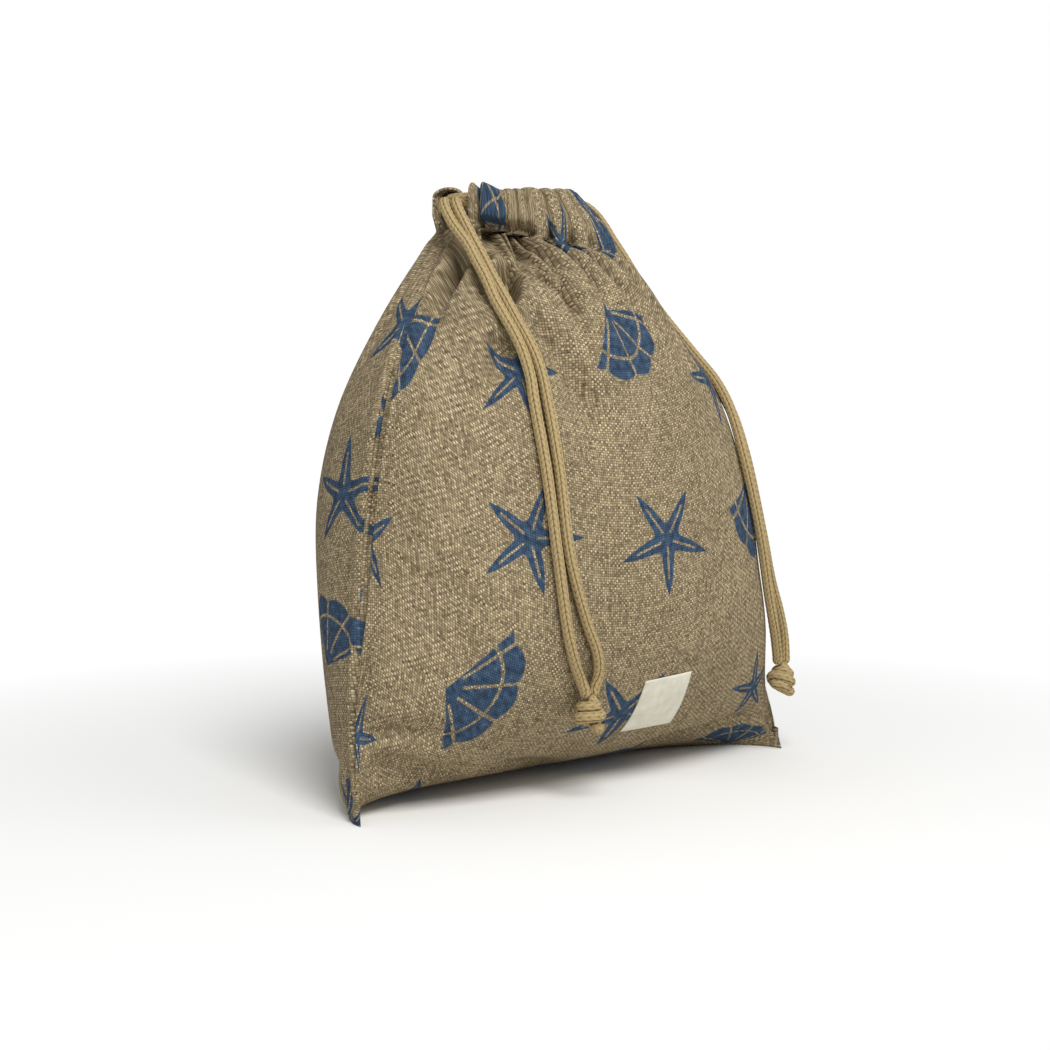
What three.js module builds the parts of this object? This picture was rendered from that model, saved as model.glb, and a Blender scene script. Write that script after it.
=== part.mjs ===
// A drawstring bag in heavy linen, filled and standing. Two panels are sewn together at the sides and
// along the bottom, a casing round the mouth gathers them, and two braided cotton drawcords run right
// round in the casing: one comes out at the left side and hangs over the front, the other comes out and
// hangs at the right side.
// Millimetres, +Z up. The origin is on the floor under the middle of the bag, and the front faces -Y.
import * as THREE from "three";
import { mergeVertices } from "three/addons/utils/BufferGeometryUtils.js";

// The filled bag.
const BAG_WIDTH = 330; // ear to ear along the floor
const BAG_DEPTH = 190; // front belly to back belly
const BAG_HEIGHT = 350; // floor to the top fold of the casing
const BODY_SHIFT = -4; // the filled body stands this far to the side of its bottom seam
const CLOTH = 1.2; // one layer of linen
const PIECE_GAP = 0.3; // between pieces that lie against each other

// The gathered mouth. The middle of its top fold is an ellipse. The casing is upright at the left and leans
// more and more towards the right, where its foot spreads out into the shoulder.
const CASING_HEIGHT = 25; // stitch line to top fold at the left
const MOUTH_WIDTH = 72; // top fold's middle, side to side
const MOUTH_DEPTH = 48; // top fold's middle, front to back
const MOUTH_X = -12; // the mouth's centre lies left of the bag's
const MOUTH_BACK = 15; // and behind it
const TOP_DROP = 3; // how much lower the top fold lies at the right
const FOOT_DROP = 14; // how much lower the stitch line lies there
const FLARE = 36; // how far the stitch line stands out from under the top fold there
const SLIT_ANGLE = 26; // degrees of the mouth left open beside each side seam, for the cords
const OUTER_PUFF = 0.6; // how far the casing swells over a gathered fold, as a share of its height
const INNER_PUFF = 0.2; // and inside the mouth

// Seam allowances inside the bag, both layers pressed together.
const ALLOWANCE = 8; // how far they stand in from the seam
const ALLOWANCE_THICK = 1.6;

// The sewn label, at the lower right of the front.
const LABEL_WIDTH = 38;
const LABEL_HEIGHT = 40;
const LABEL_THICK = 0.6;
const LABEL_X = 29; // its middle, right of the bag's
const LABEL_Z = 50; // its middle, above the floor

// Drawcords.
const CORD = 6.5;
const CORD_CLEARANCE = 0.5; // cord to casing
const LEAD = 7; // length of a lead
const KNOT_WIDTH = 19;
const KNOT_HEIGHT = 19;

const V = (x, y, z) => new THREE.Vector3(x, y, z);
const FRONT = -1;
const BACK = 1;
const LEFT = -1;
const RIGHT = 1;

const smooth = (t) => {
  const s = Math.min(1, Math.max(0, t));
  return s * s * (3 - 2 * s);
};

const linen = new THREE.MeshStandardMaterial({ color: 0x9d8b6c, roughness: 0.95, metalness: 0 });
const cotton = new THREE.MeshStandardMaterial({ color: 0xb89f74, roughness: 0.9, metalness: 0 });
const tape = new THREE.MeshStandardMaterial({ color: 0xd8d3c0, roughness: 0.9, metalness: 0 });

const bag = new THREE.Group();
function place(name, geometry, material) {
  const mesh = new THREE.Mesh(geometry, material);
  mesh.name = name;
  bag.add(mesh);
}

// A BufferGeometry of points and triangles, turned so that its faces point outwards.
function solidGeometry(points, index) {
  let volume = 0;
  for (let k = 0; k < index.length; k += 3)
    volume += points[index[k]].dot(points[index[k + 1]].clone().cross(points[index[k + 2]]));
  if (volume < 0)
    for (let k = 0; k < index.length; k += 3) [index[k + 1], index[k + 2]] = [index[k + 2], index[k + 1]];
  const geometry = new THREE.BufferGeometry().setFromPoints(points);
  geometry.setIndex(index);
  return geometry;
}

// A closed solid between two grids of points, [row][column], with its four rims.
function slabGeometry(outer, inner) {
  const rows = outer.length;
  const columns = outer[0].length;
  const at = (layer, i, j) => (layer * rows + i) * columns + j;
  const index = [];
  const quad = (a, b, c, d) => index.push(a, b, c, a, c, d);
  for (let i = 0; i + 1 < rows; i++)
    for (let j = 0; j + 1 < columns; j++) {
      quad(at(0, i, j), at(0, i, j + 1), at(0, i + 1, j + 1), at(0, i + 1, j));
      quad(at(1, i, j), at(1, i + 1, j), at(1, i + 1, j + 1), at(1, i, j + 1));
    }
  const top = rows - 1;
  for (let j = 0; j + 1 < columns; j++) {
    quad(at(0, 0, j + 1), at(0, 0, j), at(1, 0, j), at(1, 0, j + 1));
    quad(at(0, top, j), at(0, top, j + 1), at(1, top, j + 1), at(1, top, j));
  }
  const end = columns - 1;
  for (let i = 0; i + 1 < rows; i++) {
    quad(at(0, i, 0), at(0, i + 1, 0), at(1, i + 1, 0), at(1, i, 0));
    quad(at(0, i + 1, end), at(0, i, end), at(1, i, end), at(1, i + 1, end));
  }
  return solidGeometry([...outer.flat(), ...inner.flat()], index);
}

// A closed solid through rings of points, one ring for each section, with a flat cap at each end.
function sectionGeometry(rings) {
  const count = rings[0].length;
  const at = (i, j) => i * count + (j % count);
  const index = [];
  for (let i = 0; i + 1 < rings.length; i++)
    for (let j = 0; j < count; j++) {
      index.push(at(i, j), at(i, j + 1), at(i + 1, j + 1));
      index.push(at(i, j), at(i + 1, j + 1), at(i + 1, j));
    }
  const outline = CASING_OUTLINE.map(({ across, up }) => new THREE.Vector2(across(0), up(CASING_HEIGHT)));
  const cap = THREE.ShapeUtils.triangulateShape(outline, []);
  const last = rings.length - 1;
  for (const [a, b, c] of cap) {
    index.push(at(0, c), at(0, b), at(0, a));
    index.push(at(last, a), at(last, b), at(last, c));
  }
  return solidGeometry(rings.flat(), index);
}

// Outlines of the filled bag before its neck leans, from the bottom seam up to the stitch line, as shares of
// half the width, of half the depth and of the height of the stitch line's middle.
const SIDE_SEAM = [
  [1.0, -0.53, 0.0],
  [0.985, -0.49, 0.06],
  [0.96, -0.43, 0.145],
  [0.93, -0.39, 0.25],
  [0.885, -0.37, 0.37],
  [0.84, -0.35, 0.53],
  [0.735, -0.25, 0.71],
  [0.59, -0.1, 0.835],
  [0.435, 0.03, 0.93],
  [0.269, 0.158, 1.0],
];
const FRONT_CENTRE = [
  [0.2, 0.0],
  [-0.34, 0.04],
  [-0.74, 0.13],
  [-0.95, 0.25],
  [-1.0, 0.37],
  [-0.98, 0.53],
  [-0.875, 0.71],
  [-0.725, 0.835],
  [-0.515, 0.93],
  [-0.14, 1.0],
];
const BACK_CENTRE = [
  [0.2, 0.0],
  [0.45, -0.02],
  [0.63, 0.05],
  [0.8, 0.18],
  [0.94, 0.34],
  [1.0, 0.52],
  [0.93, 0.7],
  [0.805, 0.83],
  [0.625, 0.93],
  [0.456, 1.0],
];
// Each panel's section is an ellipse up to one share of the way up, squarest at the next with this exponent,
// and an ellipse again from the last.
const SECTIONS = {
  [FRONT]: { exponent: 2.25, rise: 0, squarest: 0.38, round: 0.62 },
  [BACK]: { exponent: 2.65, rise: 0.22, squarest: 0.6, round: 0.98 },
};
const SHIFT_SHARE = 0.3; // the body has come to its side shift at this share of the way up
const LEAN_SHARE = 0.72; // and bends over towards the leaning neck from this one

// The gathered folds of each panel: a fold's middle and half its breadth, as shares of the way from the
// panel's middle to its seams, its height at the stitch line, and the share of the way up where it starts.
const FOLDS = {
  [FRONT]: [
    [-0.91, 0.09, 4.5, 0.66],
    [-0.7, 0.115, 8, 0.72],
    [-0.49, 0.09, 7.5, 0.78],
    [-0.365, 0.045, 2.5, 0.84],
    [-0.27, 0.05, 4, 0.8],
    [-0.175, 0.045, 4, 0.82],
    [-0.03, 0.1, 6, 0.62],
    [0.16, 0.09, 6, 0.7],
    [0.34, 0.09, 6.5, 0.66],
    [0.53, 0.1, 6.5, 0.72],
    [0.72, 0.09, 6, 0.78],
    [0.9, 0.09, 4.5, 0.78],
  ],
  [BACK]: [
    [-0.9, 0.1, 4.5, 0.66],
    [-0.7, 0.1, 6.5, 0.62],
    [-0.5, 0.1, 7.5, 0.7],
    [-0.31, 0.09, 6, 0.64],
    [-0.15, 0.07, 4.5, 0.76],
    [0.02, 0.1, 7, 0.6],
    [0.22, 0.1, 6, 0.7],
    [0.4, 0.08, 5.5, 0.66],
    [0.57, 0.09, 7, 0.62],
    [0.75, 0.09, 6, 0.72],
    [0.91, 0.09, 4.5, 0.78],
  ],
};
const FOLD_EASE = 1.3; // how slowly a fold starts
const BROAD_FOLD = 0.075; // folds at least this broad get a row of points on each flank
const FLANK = 0.6; // and this far down it

const halfWidth = BAG_WIDTH / 2;
const halfDepth = BAG_DEPTH / 2;
const mouthX = MOUTH_WIDTH / 2;
const mouthY = MOUTH_DEPTH / 2;
const neckOut = CLOTH + PIECE_GAP / 2; // a panel's outer face at the stitch line, outside the line's middle
const footZ = BAG_HEIGHT - CASING_HEIGHT; // the stitch line's height at the left
const neckZ = footZ - FOOT_DROP / 2; // and at its middle

const seamLine = new THREE.CatmullRomCurve3(
  SIDE_SEAM.map(([w, d, h]) => V(w * halfWidth, d * halfDepth, h * neckZ)),
);
const centreLine = (shares) =>
  new THREE.CatmullRomCurve3(shares.map(([d, h]) => V(0, d * halfDepth, h * neckZ)));
const centreLines = { [FRONT]: centreLine(FRONT_CENTRE), [BACK]: centreLine(BACK_CENTRE) };

// The angle round the mouth, from the middle of the front to the right, of a share u across a panel.
const mouthAngle = (side, u) => (side === FRONT ? (u * Math.PI) / 2 : Math.PI - (u * Math.PI) / 2);

// The casing's middle layer at an angle round the mouth: its foot on the stitch line, the way up from there
// to the top fold, the way out of the mouth and the way square out of the leaning casing.
function mouthFrame(angle) {
  const [sin, cos] = [Math.sin(angle), Math.cos(angle)];
  const lean = (1 + sin) / 2;
  const out = V(sin / mouthX, -cos / mouthY, 0).normalize();
  const top = V(MOUTH_X + mouthX * sin, MOUTH_BACK - mouthY * cos, BAG_HEIGHT - TOP_DROP * lean);
  const foot = top.clone().setZ(footZ - FOOT_DROP * lean).addScaledVector(out, FLARE * lean ** 2);
  const along = top.clone().sub(foot);
  const length = along.length() - PIECE_GAP;
  along.normalize();
  const square = out.clone().multiplyScalar(along.z).setZ(-along.dot(out));
  return { foot, along, length, lean, out, square };
}

// How far the gathered folds lift a panel: the highest fold at a place. A fold starts as a soft wave and
// grows into a round arch.
function gathered(side, u, t) {
  const lifts = FOLDS[side].map(([middle, half, height, start]) => {
    const grown = smooth((t - start) / (1 - start)) ** FOLD_EASE;
    const off = Math.min(1, Math.abs(u - middle) / half);
    const wave = Math.cos((off * Math.PI) / 2) ** 2;
    const arch = Math.sqrt(1 - off * off);
    return height * grown * (wave + (arch - wave) * grown);
  });
  return Math.max(0, ...lifts);
}

const bodyShift = (t) => BODY_SHIFT * smooth(t / SHIFT_SHARE);

// A point of a panel's outer face before its neck leans and gathers. The floor flattens what would sink
// below it.
function plainPoint(side, u, t) {
  const seam = seamLine.getPoint(t);
  const centre = centreLines[side].getPoint(t);
  const { exponent, rise, squarest, round } = SECTIONS[side];
  const square = smooth((t - rise) / (squarest - rise)) * (1 - smooth((t - squarest) / (round - squarest)));
  const power = 2 + (exponent - 2) * square;
  const across = Math.sin((u * Math.PI) / 2);
  const bulge = Math.max(0, 1 - Math.abs(across) ** power) ** (1 / power);
  const point = seam.clone().lerp(centre, bulge);
  return V(seam.x * across + bodyShift(t), point.y, Math.max(0, point.z));
}

// A point of a panel's outer face. u runs from -1 at the left seam to 1 at the right one, and t from 0 at
// the bottom seam to 1 at the stitch line.
function panelPoint(side, u, t) {
  const { foot, out } = mouthFrame(mouthAngle(side, u));
  const bent = Math.max(0, (t - LEAN_SHARE) / (1 - LEAN_SHARE)) ** 2;
  const move = foot.addScaledVector(out, neckOut).sub(plainPoint(side, u, 1)).multiplyScalar(bent);
  return plainPoint(side, u, t).add(move).addScaledVector(out, gathered(side, u, t));
}

// Places across a panel: its seams, the top of each fold, the valleys between them and the flanks of the
// broad ones.
function columnsAcross(side) {
  const columns = [-1, 1];
  FOLDS[side].forEach(([middle, half], k) => {
    columns.push(middle);
    if (half >= BROAD_FOLD) columns.push(middle - FLANK * half, middle + FLANK * half);
    const next = FOLDS[side][k + 1];
    if (next) columns.push((middle + half + next[0] - next[1]) / 2);
  });
  return columns.sort((a, b) => a - b);
}

const PANEL_ROWS = 20;
const SEAM_STEP = 0.94; // the way in from a seam is taken at this share of the way out to it
const WALL_SHARE = 0.35; // near a seam, a wall takes at most this share of the space between the panels
const SEAM_REACH = 40; // panels nearer than this face each other squarely
const NORMAL_STEP = 1e-3;

// The way from a point of a seam into the bag, midway between the two panels.
function seamInward(u, t) {
  const insideU = u * SEAM_STEP;
  const insideT = Math.abs(u) === 1 && t > 0 ? t : t + 1 / PANEL_ROWS;
  const middle = panelPoint(FRONT, insideU, insideT).lerp(panelPoint(BACK, insideU, insideT), 0.5);
  return middle.sub(panelPoint(FRONT, u, t)).normalize();
}

// The way square into the bag from a point of a panel's outer face.
function panelInward(side, u, t) {
  const top = Math.min(1, t + NORMAL_STEP);
  const alongU = panelPoint(side, u + NORMAL_STEP, t).sub(panelPoint(side, u - NORMAL_STEP, t));
  const alongT = panelPoint(side, u, top).sub(panelPoint(side, u, t - NORMAL_STEP));
  return alongU.cross(alongT).multiplyScalar(side).normalize();
}

// One linen panel: its outer face, and an inner face one layer of cloth inside it. Along the seams the
// wall's edge lies in the seam, half a gap from its neighbour's.
function panelGeometry(side) {
  const columns = columnsAcross(side);
  const outer = [];
  const inner = [];
  for (let i = 0; i <= PANEL_ROWS; i++) {
    const t = i / PANEL_ROWS;
    outer.push([]);
    inner.push([]);
    for (const u of columns) {
      const point = panelPoint(side, u, t);
      const inside = point.clone();
      if (i === 0 || Math.abs(u) === 1) {
        inside.addScaledVector(seamInward(u, t), CLOTH);
      } else {
        const inward = panelInward(side, u, t);
        if (i === PANEL_ROWS) inward.setZ(0).normalize();
        const across = panelPoint(-side, u, t).sub(point);
        const wall = Math.min(CLOTH, WALL_SHARE * across.length());
        const square = 1 - smooth(across.length() / SEAM_REACH);
        inside.addScaledVector(inward.lerp(across.normalize(), square).normalize(), wall);
      }
      point.y += (side * PIECE_GAP) / 2;
      inside.y += (side * PIECE_GAP) / 2;
      outer[i].push(point);
      inner[i].push(inside);
    }
  }
  return slabGeometry(outer, inner);
}

place("front_panel", panelGeometry(FRONT), linen);
place("back_panel", panelGeometry(BACK), linen);

// The casing is a hem folded over the cords: two layers that meet at the stitch line, swell round the cords
// and join in the top fold. Its section, outside first, gives each point's place across the casing, which
// follows the height of the gathered folds, and its way up from the stitch line.
const tunnel = CORD / 2 + CORD_CLEARANCE;
const casingHalf = tunnel + CLOTH;
const CASING_START = 0.25; // the layers have parted at this share of the casing's height
const CASING_FULL = 0.5; // and swell furthest at this one
const START_PUFF = 0.7; // shares of the full swelling, where the layers have parted and under the top fold
const FOLD_PUFF = 0.6;
const foldRise = (length) => length - casingHalf; // the top fold's middle
function casingWall(face, half) {
  const puff = face > 0 ? OUTER_PUFF : INNER_PUFF;
  return [
    { across: (lift) => face * (half - casingHalf + neckOut) + lift, up: () => 0 },
    { across: (lift) => face * (half + START_PUFF * puff * lift), up: (length) => CASING_START * length },
    { across: (lift) => face * (half + puff * lift), up: (length) => CASING_FULL * length },
    { across: (lift) => face * (half + FOLD_PUFF * puff * lift), up: foldRise },
    { across: () => face * half * Math.SQRT1_2, up: (length) => foldRise(length) + half * Math.SQRT1_2 },
  ];
}
const hemLayer = (half) => [
  ...casingWall(1, half),
  { across: () => 0, up: (length) => foldRise(length) + half },
  ...casingWall(-1, half).reverse(),
];
const CASING_OUTLINE = [...hemLayer(casingHalf), ...hemLayer(tunnel).reverse()];
const casingReach = 1 - SLIT_ANGLE / 90;

function casingGeometry(side) {
  const inside = columnsAcross(side).filter((u) => Math.abs(u) < casingReach);
  const rings = [-casingReach, ...inside, casingReach].map((u) => {
    const { foot, along, length, out, square } = mouthFrame(mouthAngle(side, u));
    const lift = gathered(side, u, 1);
    return CASING_OUTLINE.map(({ across, up }) => {
      const rise = up(length);
      const point = foot.clone().addScaledVector(along, rise);
      point.z += PIECE_GAP;
      return point.addScaledVector(rise > 0 ? square : out, across(lift));
    });
  });
  return sectionGeometry(rings);
}

place("front_casing", casingGeometry(FRONT), linen);
place("back_casing", casingGeometry(BACK), linen);

// Seam allowances stand inwards from the seams, a gap clear of the panels' inner faces.
const ALLOWANCE_STEPS = 18;
const SIDE_ALLOWANCE = [0.22, 0.9]; // from and to, as shares of the way up
const BOTTOM_ALLOWANCE = [-0.68, 0.68]; // from and to, as shares of the way to an ear
const allowanceFoot = CLOTH + 2 * PIECE_GAP; // in from the seam

// The foot and the free edge of a side seam's allowance, square to the seam and in line with it.
function sideAllowance(side, t) {
  const seam = panelPoint(FRONT, side, t);
  const along = panelPoint(FRONT, side, t + NORMAL_STEP).sub(seam);
  const inward = V(-side * along.z, 0, side * along.x).normalize();
  const edges = [allowanceFoot, allowanceFoot + ALLOWANCE];
  return edges.map((depth) => seam.clone().addScaledVector(inward, depth));
}

// The bottom seam's allowance stands up from the floor of the bag.
function bottomAllowance(u) {
  const foot = panelPoint(FRONT, u, 0).add(V(0, 0, allowanceFoot));
  return [foot, foot.clone().add(V(0, 0, ALLOWANCE))];
}

function allowanceGeometry([from, to], edges) {
  const layers = [-ALLOWANCE_THICK / 2, ALLOWANCE_THICK / 2].map((shift) =>
    Array.from({ length: ALLOWANCE_STEPS + 1 }, (_, i) =>
      edges(from + ((to - from) * i) / ALLOWANCE_STEPS).map((point) => point.add(V(0, shift, 0))),
    ),
  );
  return slabGeometry(...layers);
}

place("left_seam_allowance", allowanceGeometry(SIDE_ALLOWANCE, (t) => sideAllowance(LEFT, t)), linen);
place("right_seam_allowance", allowanceGeometry(SIDE_ALLOWANCE, (t) => sideAllowance(RIGHT, t)), linen);
place("bottom_seam_allowance", allowanceGeometry(BOTTOM_ALLOWANCE, bottomAllowance), linen);

// The label lies on the front, squared up with the cloth.
const LABEL_STEPS = 6;
const HALVINGS = 40; // of the way up a panel, to find a height

// The place on a panel, as u and t, of the point at a given x and height.
function placeOnPanel(side, x, z) {
  let [low, high] = [0, LEAN_SHARE];
  let u = 0;
  for (let k = 0; k < HALVINGS; k++) {
    const t = (low + high) / 2;
    u = (Math.asin((x - bodyShift(t)) / seamLine.getPoint(t).x) * 2) / Math.PI;
    if (panelPoint(side, u, t).z < z) low = t;
    else high = t;
  }
  return [u, low];
}

function labelGeometry() {
  const [u0, t0] = placeOnPanel(FRONT, LABEL_X, LABEL_Z);
  const middle = panelPoint(FRONT, u0, t0);
  const perU = panelPoint(FRONT, u0 + NORMAL_STEP, t0).distanceTo(middle) / NORMAL_STEP;
  const perT = panelPoint(FRONT, u0, t0 + NORMAL_STEP).distanceTo(middle) / NORMAL_STEP;
  const layers = [PIECE_GAP + LABEL_THICK, PIECE_GAP].map((lift) =>
    Array.from({ length: LABEL_STEPS + 1 }, (_, i) =>
      Array.from({ length: LABEL_STEPS + 1 }, (__, j) => {
        const u = u0 + ((j / LABEL_STEPS - 0.5) * LABEL_WIDTH) / perU;
        const t = t0 + ((i / LABEL_STEPS - 0.5) * LABEL_HEIGHT) / perT;
        const point = panelPoint(FRONT, u, t).addScaledVector(panelInward(FRONT, u, t), -lift);
        point.y -= PIECE_GAP / 2;
        return point;
      }),
    ),
  );
  return slabGeometry(...layers);
}

place("label", labelGeometry(), tape);

// Drawcords. A tube along a curve, with its caps, as one closed body.
const CORD_SIDES = 8;

function cordGeometry(points, steps) {
  const section = new THREE.Shape().absarc(0, 0, CORD / 2, 0, 2 * Math.PI);
  const path = new THREE.CatmullRomCurve3(points, false, "centripetal");
  const settings = { extrudePath: path, steps, curveSegments: CORD_SIDES / 2 };
  const tube = new THREE.ExtrudeGeometry(section, settings);
  tube.deleteAttribute("normal");
  tube.deleteAttribute("uv");
  return mergeVertices(tube);
}

const strandShift = CORD / 2 + PIECE_GAP / 2; // a strand's middle, beside the middle of a pair
const STRANDS = { front: FRONT, rear: BACK };
const RUN_STEPS = 40;
const RUN_POINTS = 24;

const LANE_SPREAD = 0.45; // the lower cord lies this share further down where the casing leans furthest

// A cord's line in the casing, at an angle round the mouth and this far below the top fold's middle.
function lanePoint(angle, below) {
  const { foot, along, length, lean } = mouthFrame(angle);
  const point = foot.addScaledVector(along, foldRise(length) - below * (1 + LANE_SPREAD * lean));
  point.z += PIECE_GAP;
  return point;
}

// The two cords. The right one lies in the top fold and the left one under it. A cord's exit, where its
// leads begin, and the points that bring its run there are measured from the point of its line at its side
// seam, and its run leaves that line at a share of the way to the seam. Each tail is two strands and one
// knot for both. A strand's points run from its lead to just above the knot.
const CORDS = [
  {
    cord: "left",
    side: LEFT,
    lane: CORD + PIECE_GAP,
    exit: [-5.4, -3.6],
    way: V(-1, -1, 0).normalize(),
    knot: V(-37.5, -90, 51),
    runEnds: {
      front: { leaves: 0.66, points: [[1.9, -6.8], [0.5, -6.1]] },
      rear: { leaves: 0.73, points: [[-3.6, 3.1], [-5.3, 1.3]] },
    },
    routes: {
      front: [
        [-61.1, -1.3, 337.8],
        [-63.3, -4.5, 335.8],
        [-64.4, -8.6, 331.5],
        [-64.3, -13.5, 324.7],
        [-63.5, -20, 315.5],
        [-63, -29, 304],
        [-65, -40, 293],
        [-65, -50.5, 281],
        [-64, -58, 270.5],
        [-62.5, -65, 260.5],
        [-61, -71.5, 249.5],
        [-60, -76.5, 237],
        [-60.5, -81, 224.5],
        [-59.5, -89.5, 188],
        [-56.5, -95.5, 139],
        [-46, -96.5, 105],
        [-36, -95, 84.5],
        [-33, -92, 72.5],
      ],
      rear: [
        [-65.8, 3.6, 337.6],
        [-68.2, 0.2, 335.3],
        [-69.9, -4.3, 331.2],
        [-70.5, -10, 325],
        [-70.5, -17, 318.5],
        [-70.3, -24, 312],
        [-70.5, -31, 303.5],
        [-72, -41.5, 293],
        [-72, -50, 280.5],
        [-71, -57.5, 270.5],
        [-69.5, -64.5, 260.5],
        [-68, -70, 249.5],
        [-67.5, -75, 237],
        [-68.5, -79, 224.5],
        [-67.5, -88, 188],
        [-64.5, -94.5, 139],
        [-58, -95.5, 98],
        [-51, -93, 81],
        [-44, -90, 70.5],
      ],
    },
  },
  {
    cord: "right",
    side: RIGHT,
    lane: 0,
    exit: [7, 0],
    way: V(1, 0, 0),
    knot: V(151, -62, 48),
    runEnds: {
      front: { leaves: 0.73, points: [[1, -4.4], [3.4, -3.4]] },
      rear: { leaves: 0.73, points: [[1, 4.4], [3.4, 3.4]] },
    },
    routes: {
      front: [
        [50.5, 11.4, 342.4],
        [56.5, 10.3, 338.5],
        [61.5, 8, 332],
        [65, 4, 323.5],
        [68.5, -1.5, 313.8],
        [73.4, -5.7, 303.4],
        [78.6, -7.8, 295.7],
        [84.3, -10.9, 286.6],
        [90.9, -14.8, 276.4],
        [97.8, -21.2, 264.8],
        [105, -30, 251.2],
        [109, -43.5, 236],
        [108.6, -56.5, 218.8],
        [109.6, -66.5, 192.4],
        [119.6, -72, 142.8],
        [129.5, -70.5, 105],
        [136, -68.5, 87],
        [143, -64.8, 72],
      ],
      rear: [
        [50.5, 18.4, 342.4],
        [56.5, 18.2, 338.5],
        [62, 17.2, 332],
        [66, 14.2, 323.5],
        [70.5, 8.5, 313.6],
        [75, 3, 303.7],
        [79.6, 0.6, 296],
        [85.3, -3, 286.8],
        [91.9, -7.2, 276.5],
        [99.3, -13.2, 265],
        [107.6, -21.8, 251.3],
        [114, -35.3, 236.2],
        [114.6, -50.6, 218.8],
        [116.6, -61.2, 192.4],
        [127, -66.5, 142.8],
        [139.5, -63, 112],
        [147.5, -63, 91],
        [153, -62.2, 74],
      ],
    },
  },
];

// The run of a cord inside the casing: in at its side slit, once round the mouth and out beside itself.
function runGeometry({ side, lane, runEnds: { front, rear } }) {
  const turn = 2 + front.leaves + rear.leaves; // once round the mouth is 4 of these shares
  const around = Array.from({ length: RUN_POINTS + 1 }, (_, i) =>
    lanePoint((side * (front.leaves - (turn * i) / RUN_POINTS) * Math.PI) / 2, lane),
  );
  const lineEnd = lanePoint((side * Math.PI) / 2, lane);
  const ends = [front, rear].map(({ points }) => points.map(([x, y]) => lineEnd.clone().add(V(x, y, 0))));
  return cordGeometry([...ends[0].reverse(), ...around, ...ends[1]], RUN_STEPS);
}

const STRAND_STEPS = 30;
const KNOT_SEGMENTS = 16;
const KNOT_TURNS = 2;
const KNOT_WAIST = 0.86; // of the knot's width, between its turns
const KNOT_END = 0.72; // and at its flat ends

// A stopper knot as two turns of the doubled cord, one on the other.
function knotGeometry({ x, y, z }) {
  const profile = [new THREE.Vector2(0, -KNOT_HEIGHT / 2)];
  for (let i = 0; i <= 2 * KNOT_TURNS; i++) {
    const atEnd = i === 0 || i === 2 * KNOT_TURNS;
    const share = i % 2 === 1 ? 1 : atEnd ? KNOT_END : KNOT_WAIST;
    profile.push(new THREE.Vector2((share * KNOT_WIDTH) / 2, (i / (2 * KNOT_TURNS) - 0.5) * KNOT_HEIGHT));
  }
  profile.push(new THREE.Vector2(0, KNOT_HEIGHT / 2));
  const turned = new THREE.LatheGeometry(profile, KNOT_SEGMENTS).rotateX(Math.PI / 2).translate(x, y, z);
  turned.deleteAttribute("normal");
  turned.deleteAttribute("uv");
  return mergeVertices(turned);
}

for (const tail of CORDS) {
  const { cord, side, lane, way, knot, routes } = tail;
  place(`${cord}_cord_run`, runGeometry(tail), cotton);
  const exit = lanePoint((side * Math.PI) / 2, lane).add(V(...tail.exit, 0));
  const beside = V(-way.y, way.x, 0).multiplyScalar(side * strandShift);
  for (const [strand, shift] of Object.entries(STRANDS)) {
    const along = (reach) => exit.clone().addScaledVector(beside, shift).addScaledVector(way, reach);
    place(`${cord}_${strand}_lead`, cordGeometry([along(0), along(LEAD)], 2), cotton);
    const start = LEAD + PIECE_GAP;
    const end = knot.clone().add(V(side * shift * strandShift, 0, KNOT_HEIGHT / 2 + PIECE_GAP));
    const intoKnot = end.clone().add(V(0, 0, CORD / 2));
    const route = routes[strand].map((point) => V(...point));
    const points = [along(start), along(start + CORD / 2), ...route, intoKnot, end];
    place(`${cord}_${strand}_strand`, cordGeometry(points, STRAND_STEPS), cotton);
  }
  place(`${cord}_knot`, knotGeometry(knot), cotton);
}

export default bag;
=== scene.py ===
"""A drawstring bag in heavy printed linen: the visual model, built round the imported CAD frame.

Metres, +Z up, the origin on the floor under the middle of the bag, the front facing -Y. A panel is
described by two shares: u runs from -1 at its left seam to 1 at its right one, and t from 0 at the
bottom seam to 1 at the neck.
"""

import logging
import math
from dataclasses import dataclass
from enum import Enum
from typing import NamedTuple

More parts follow.
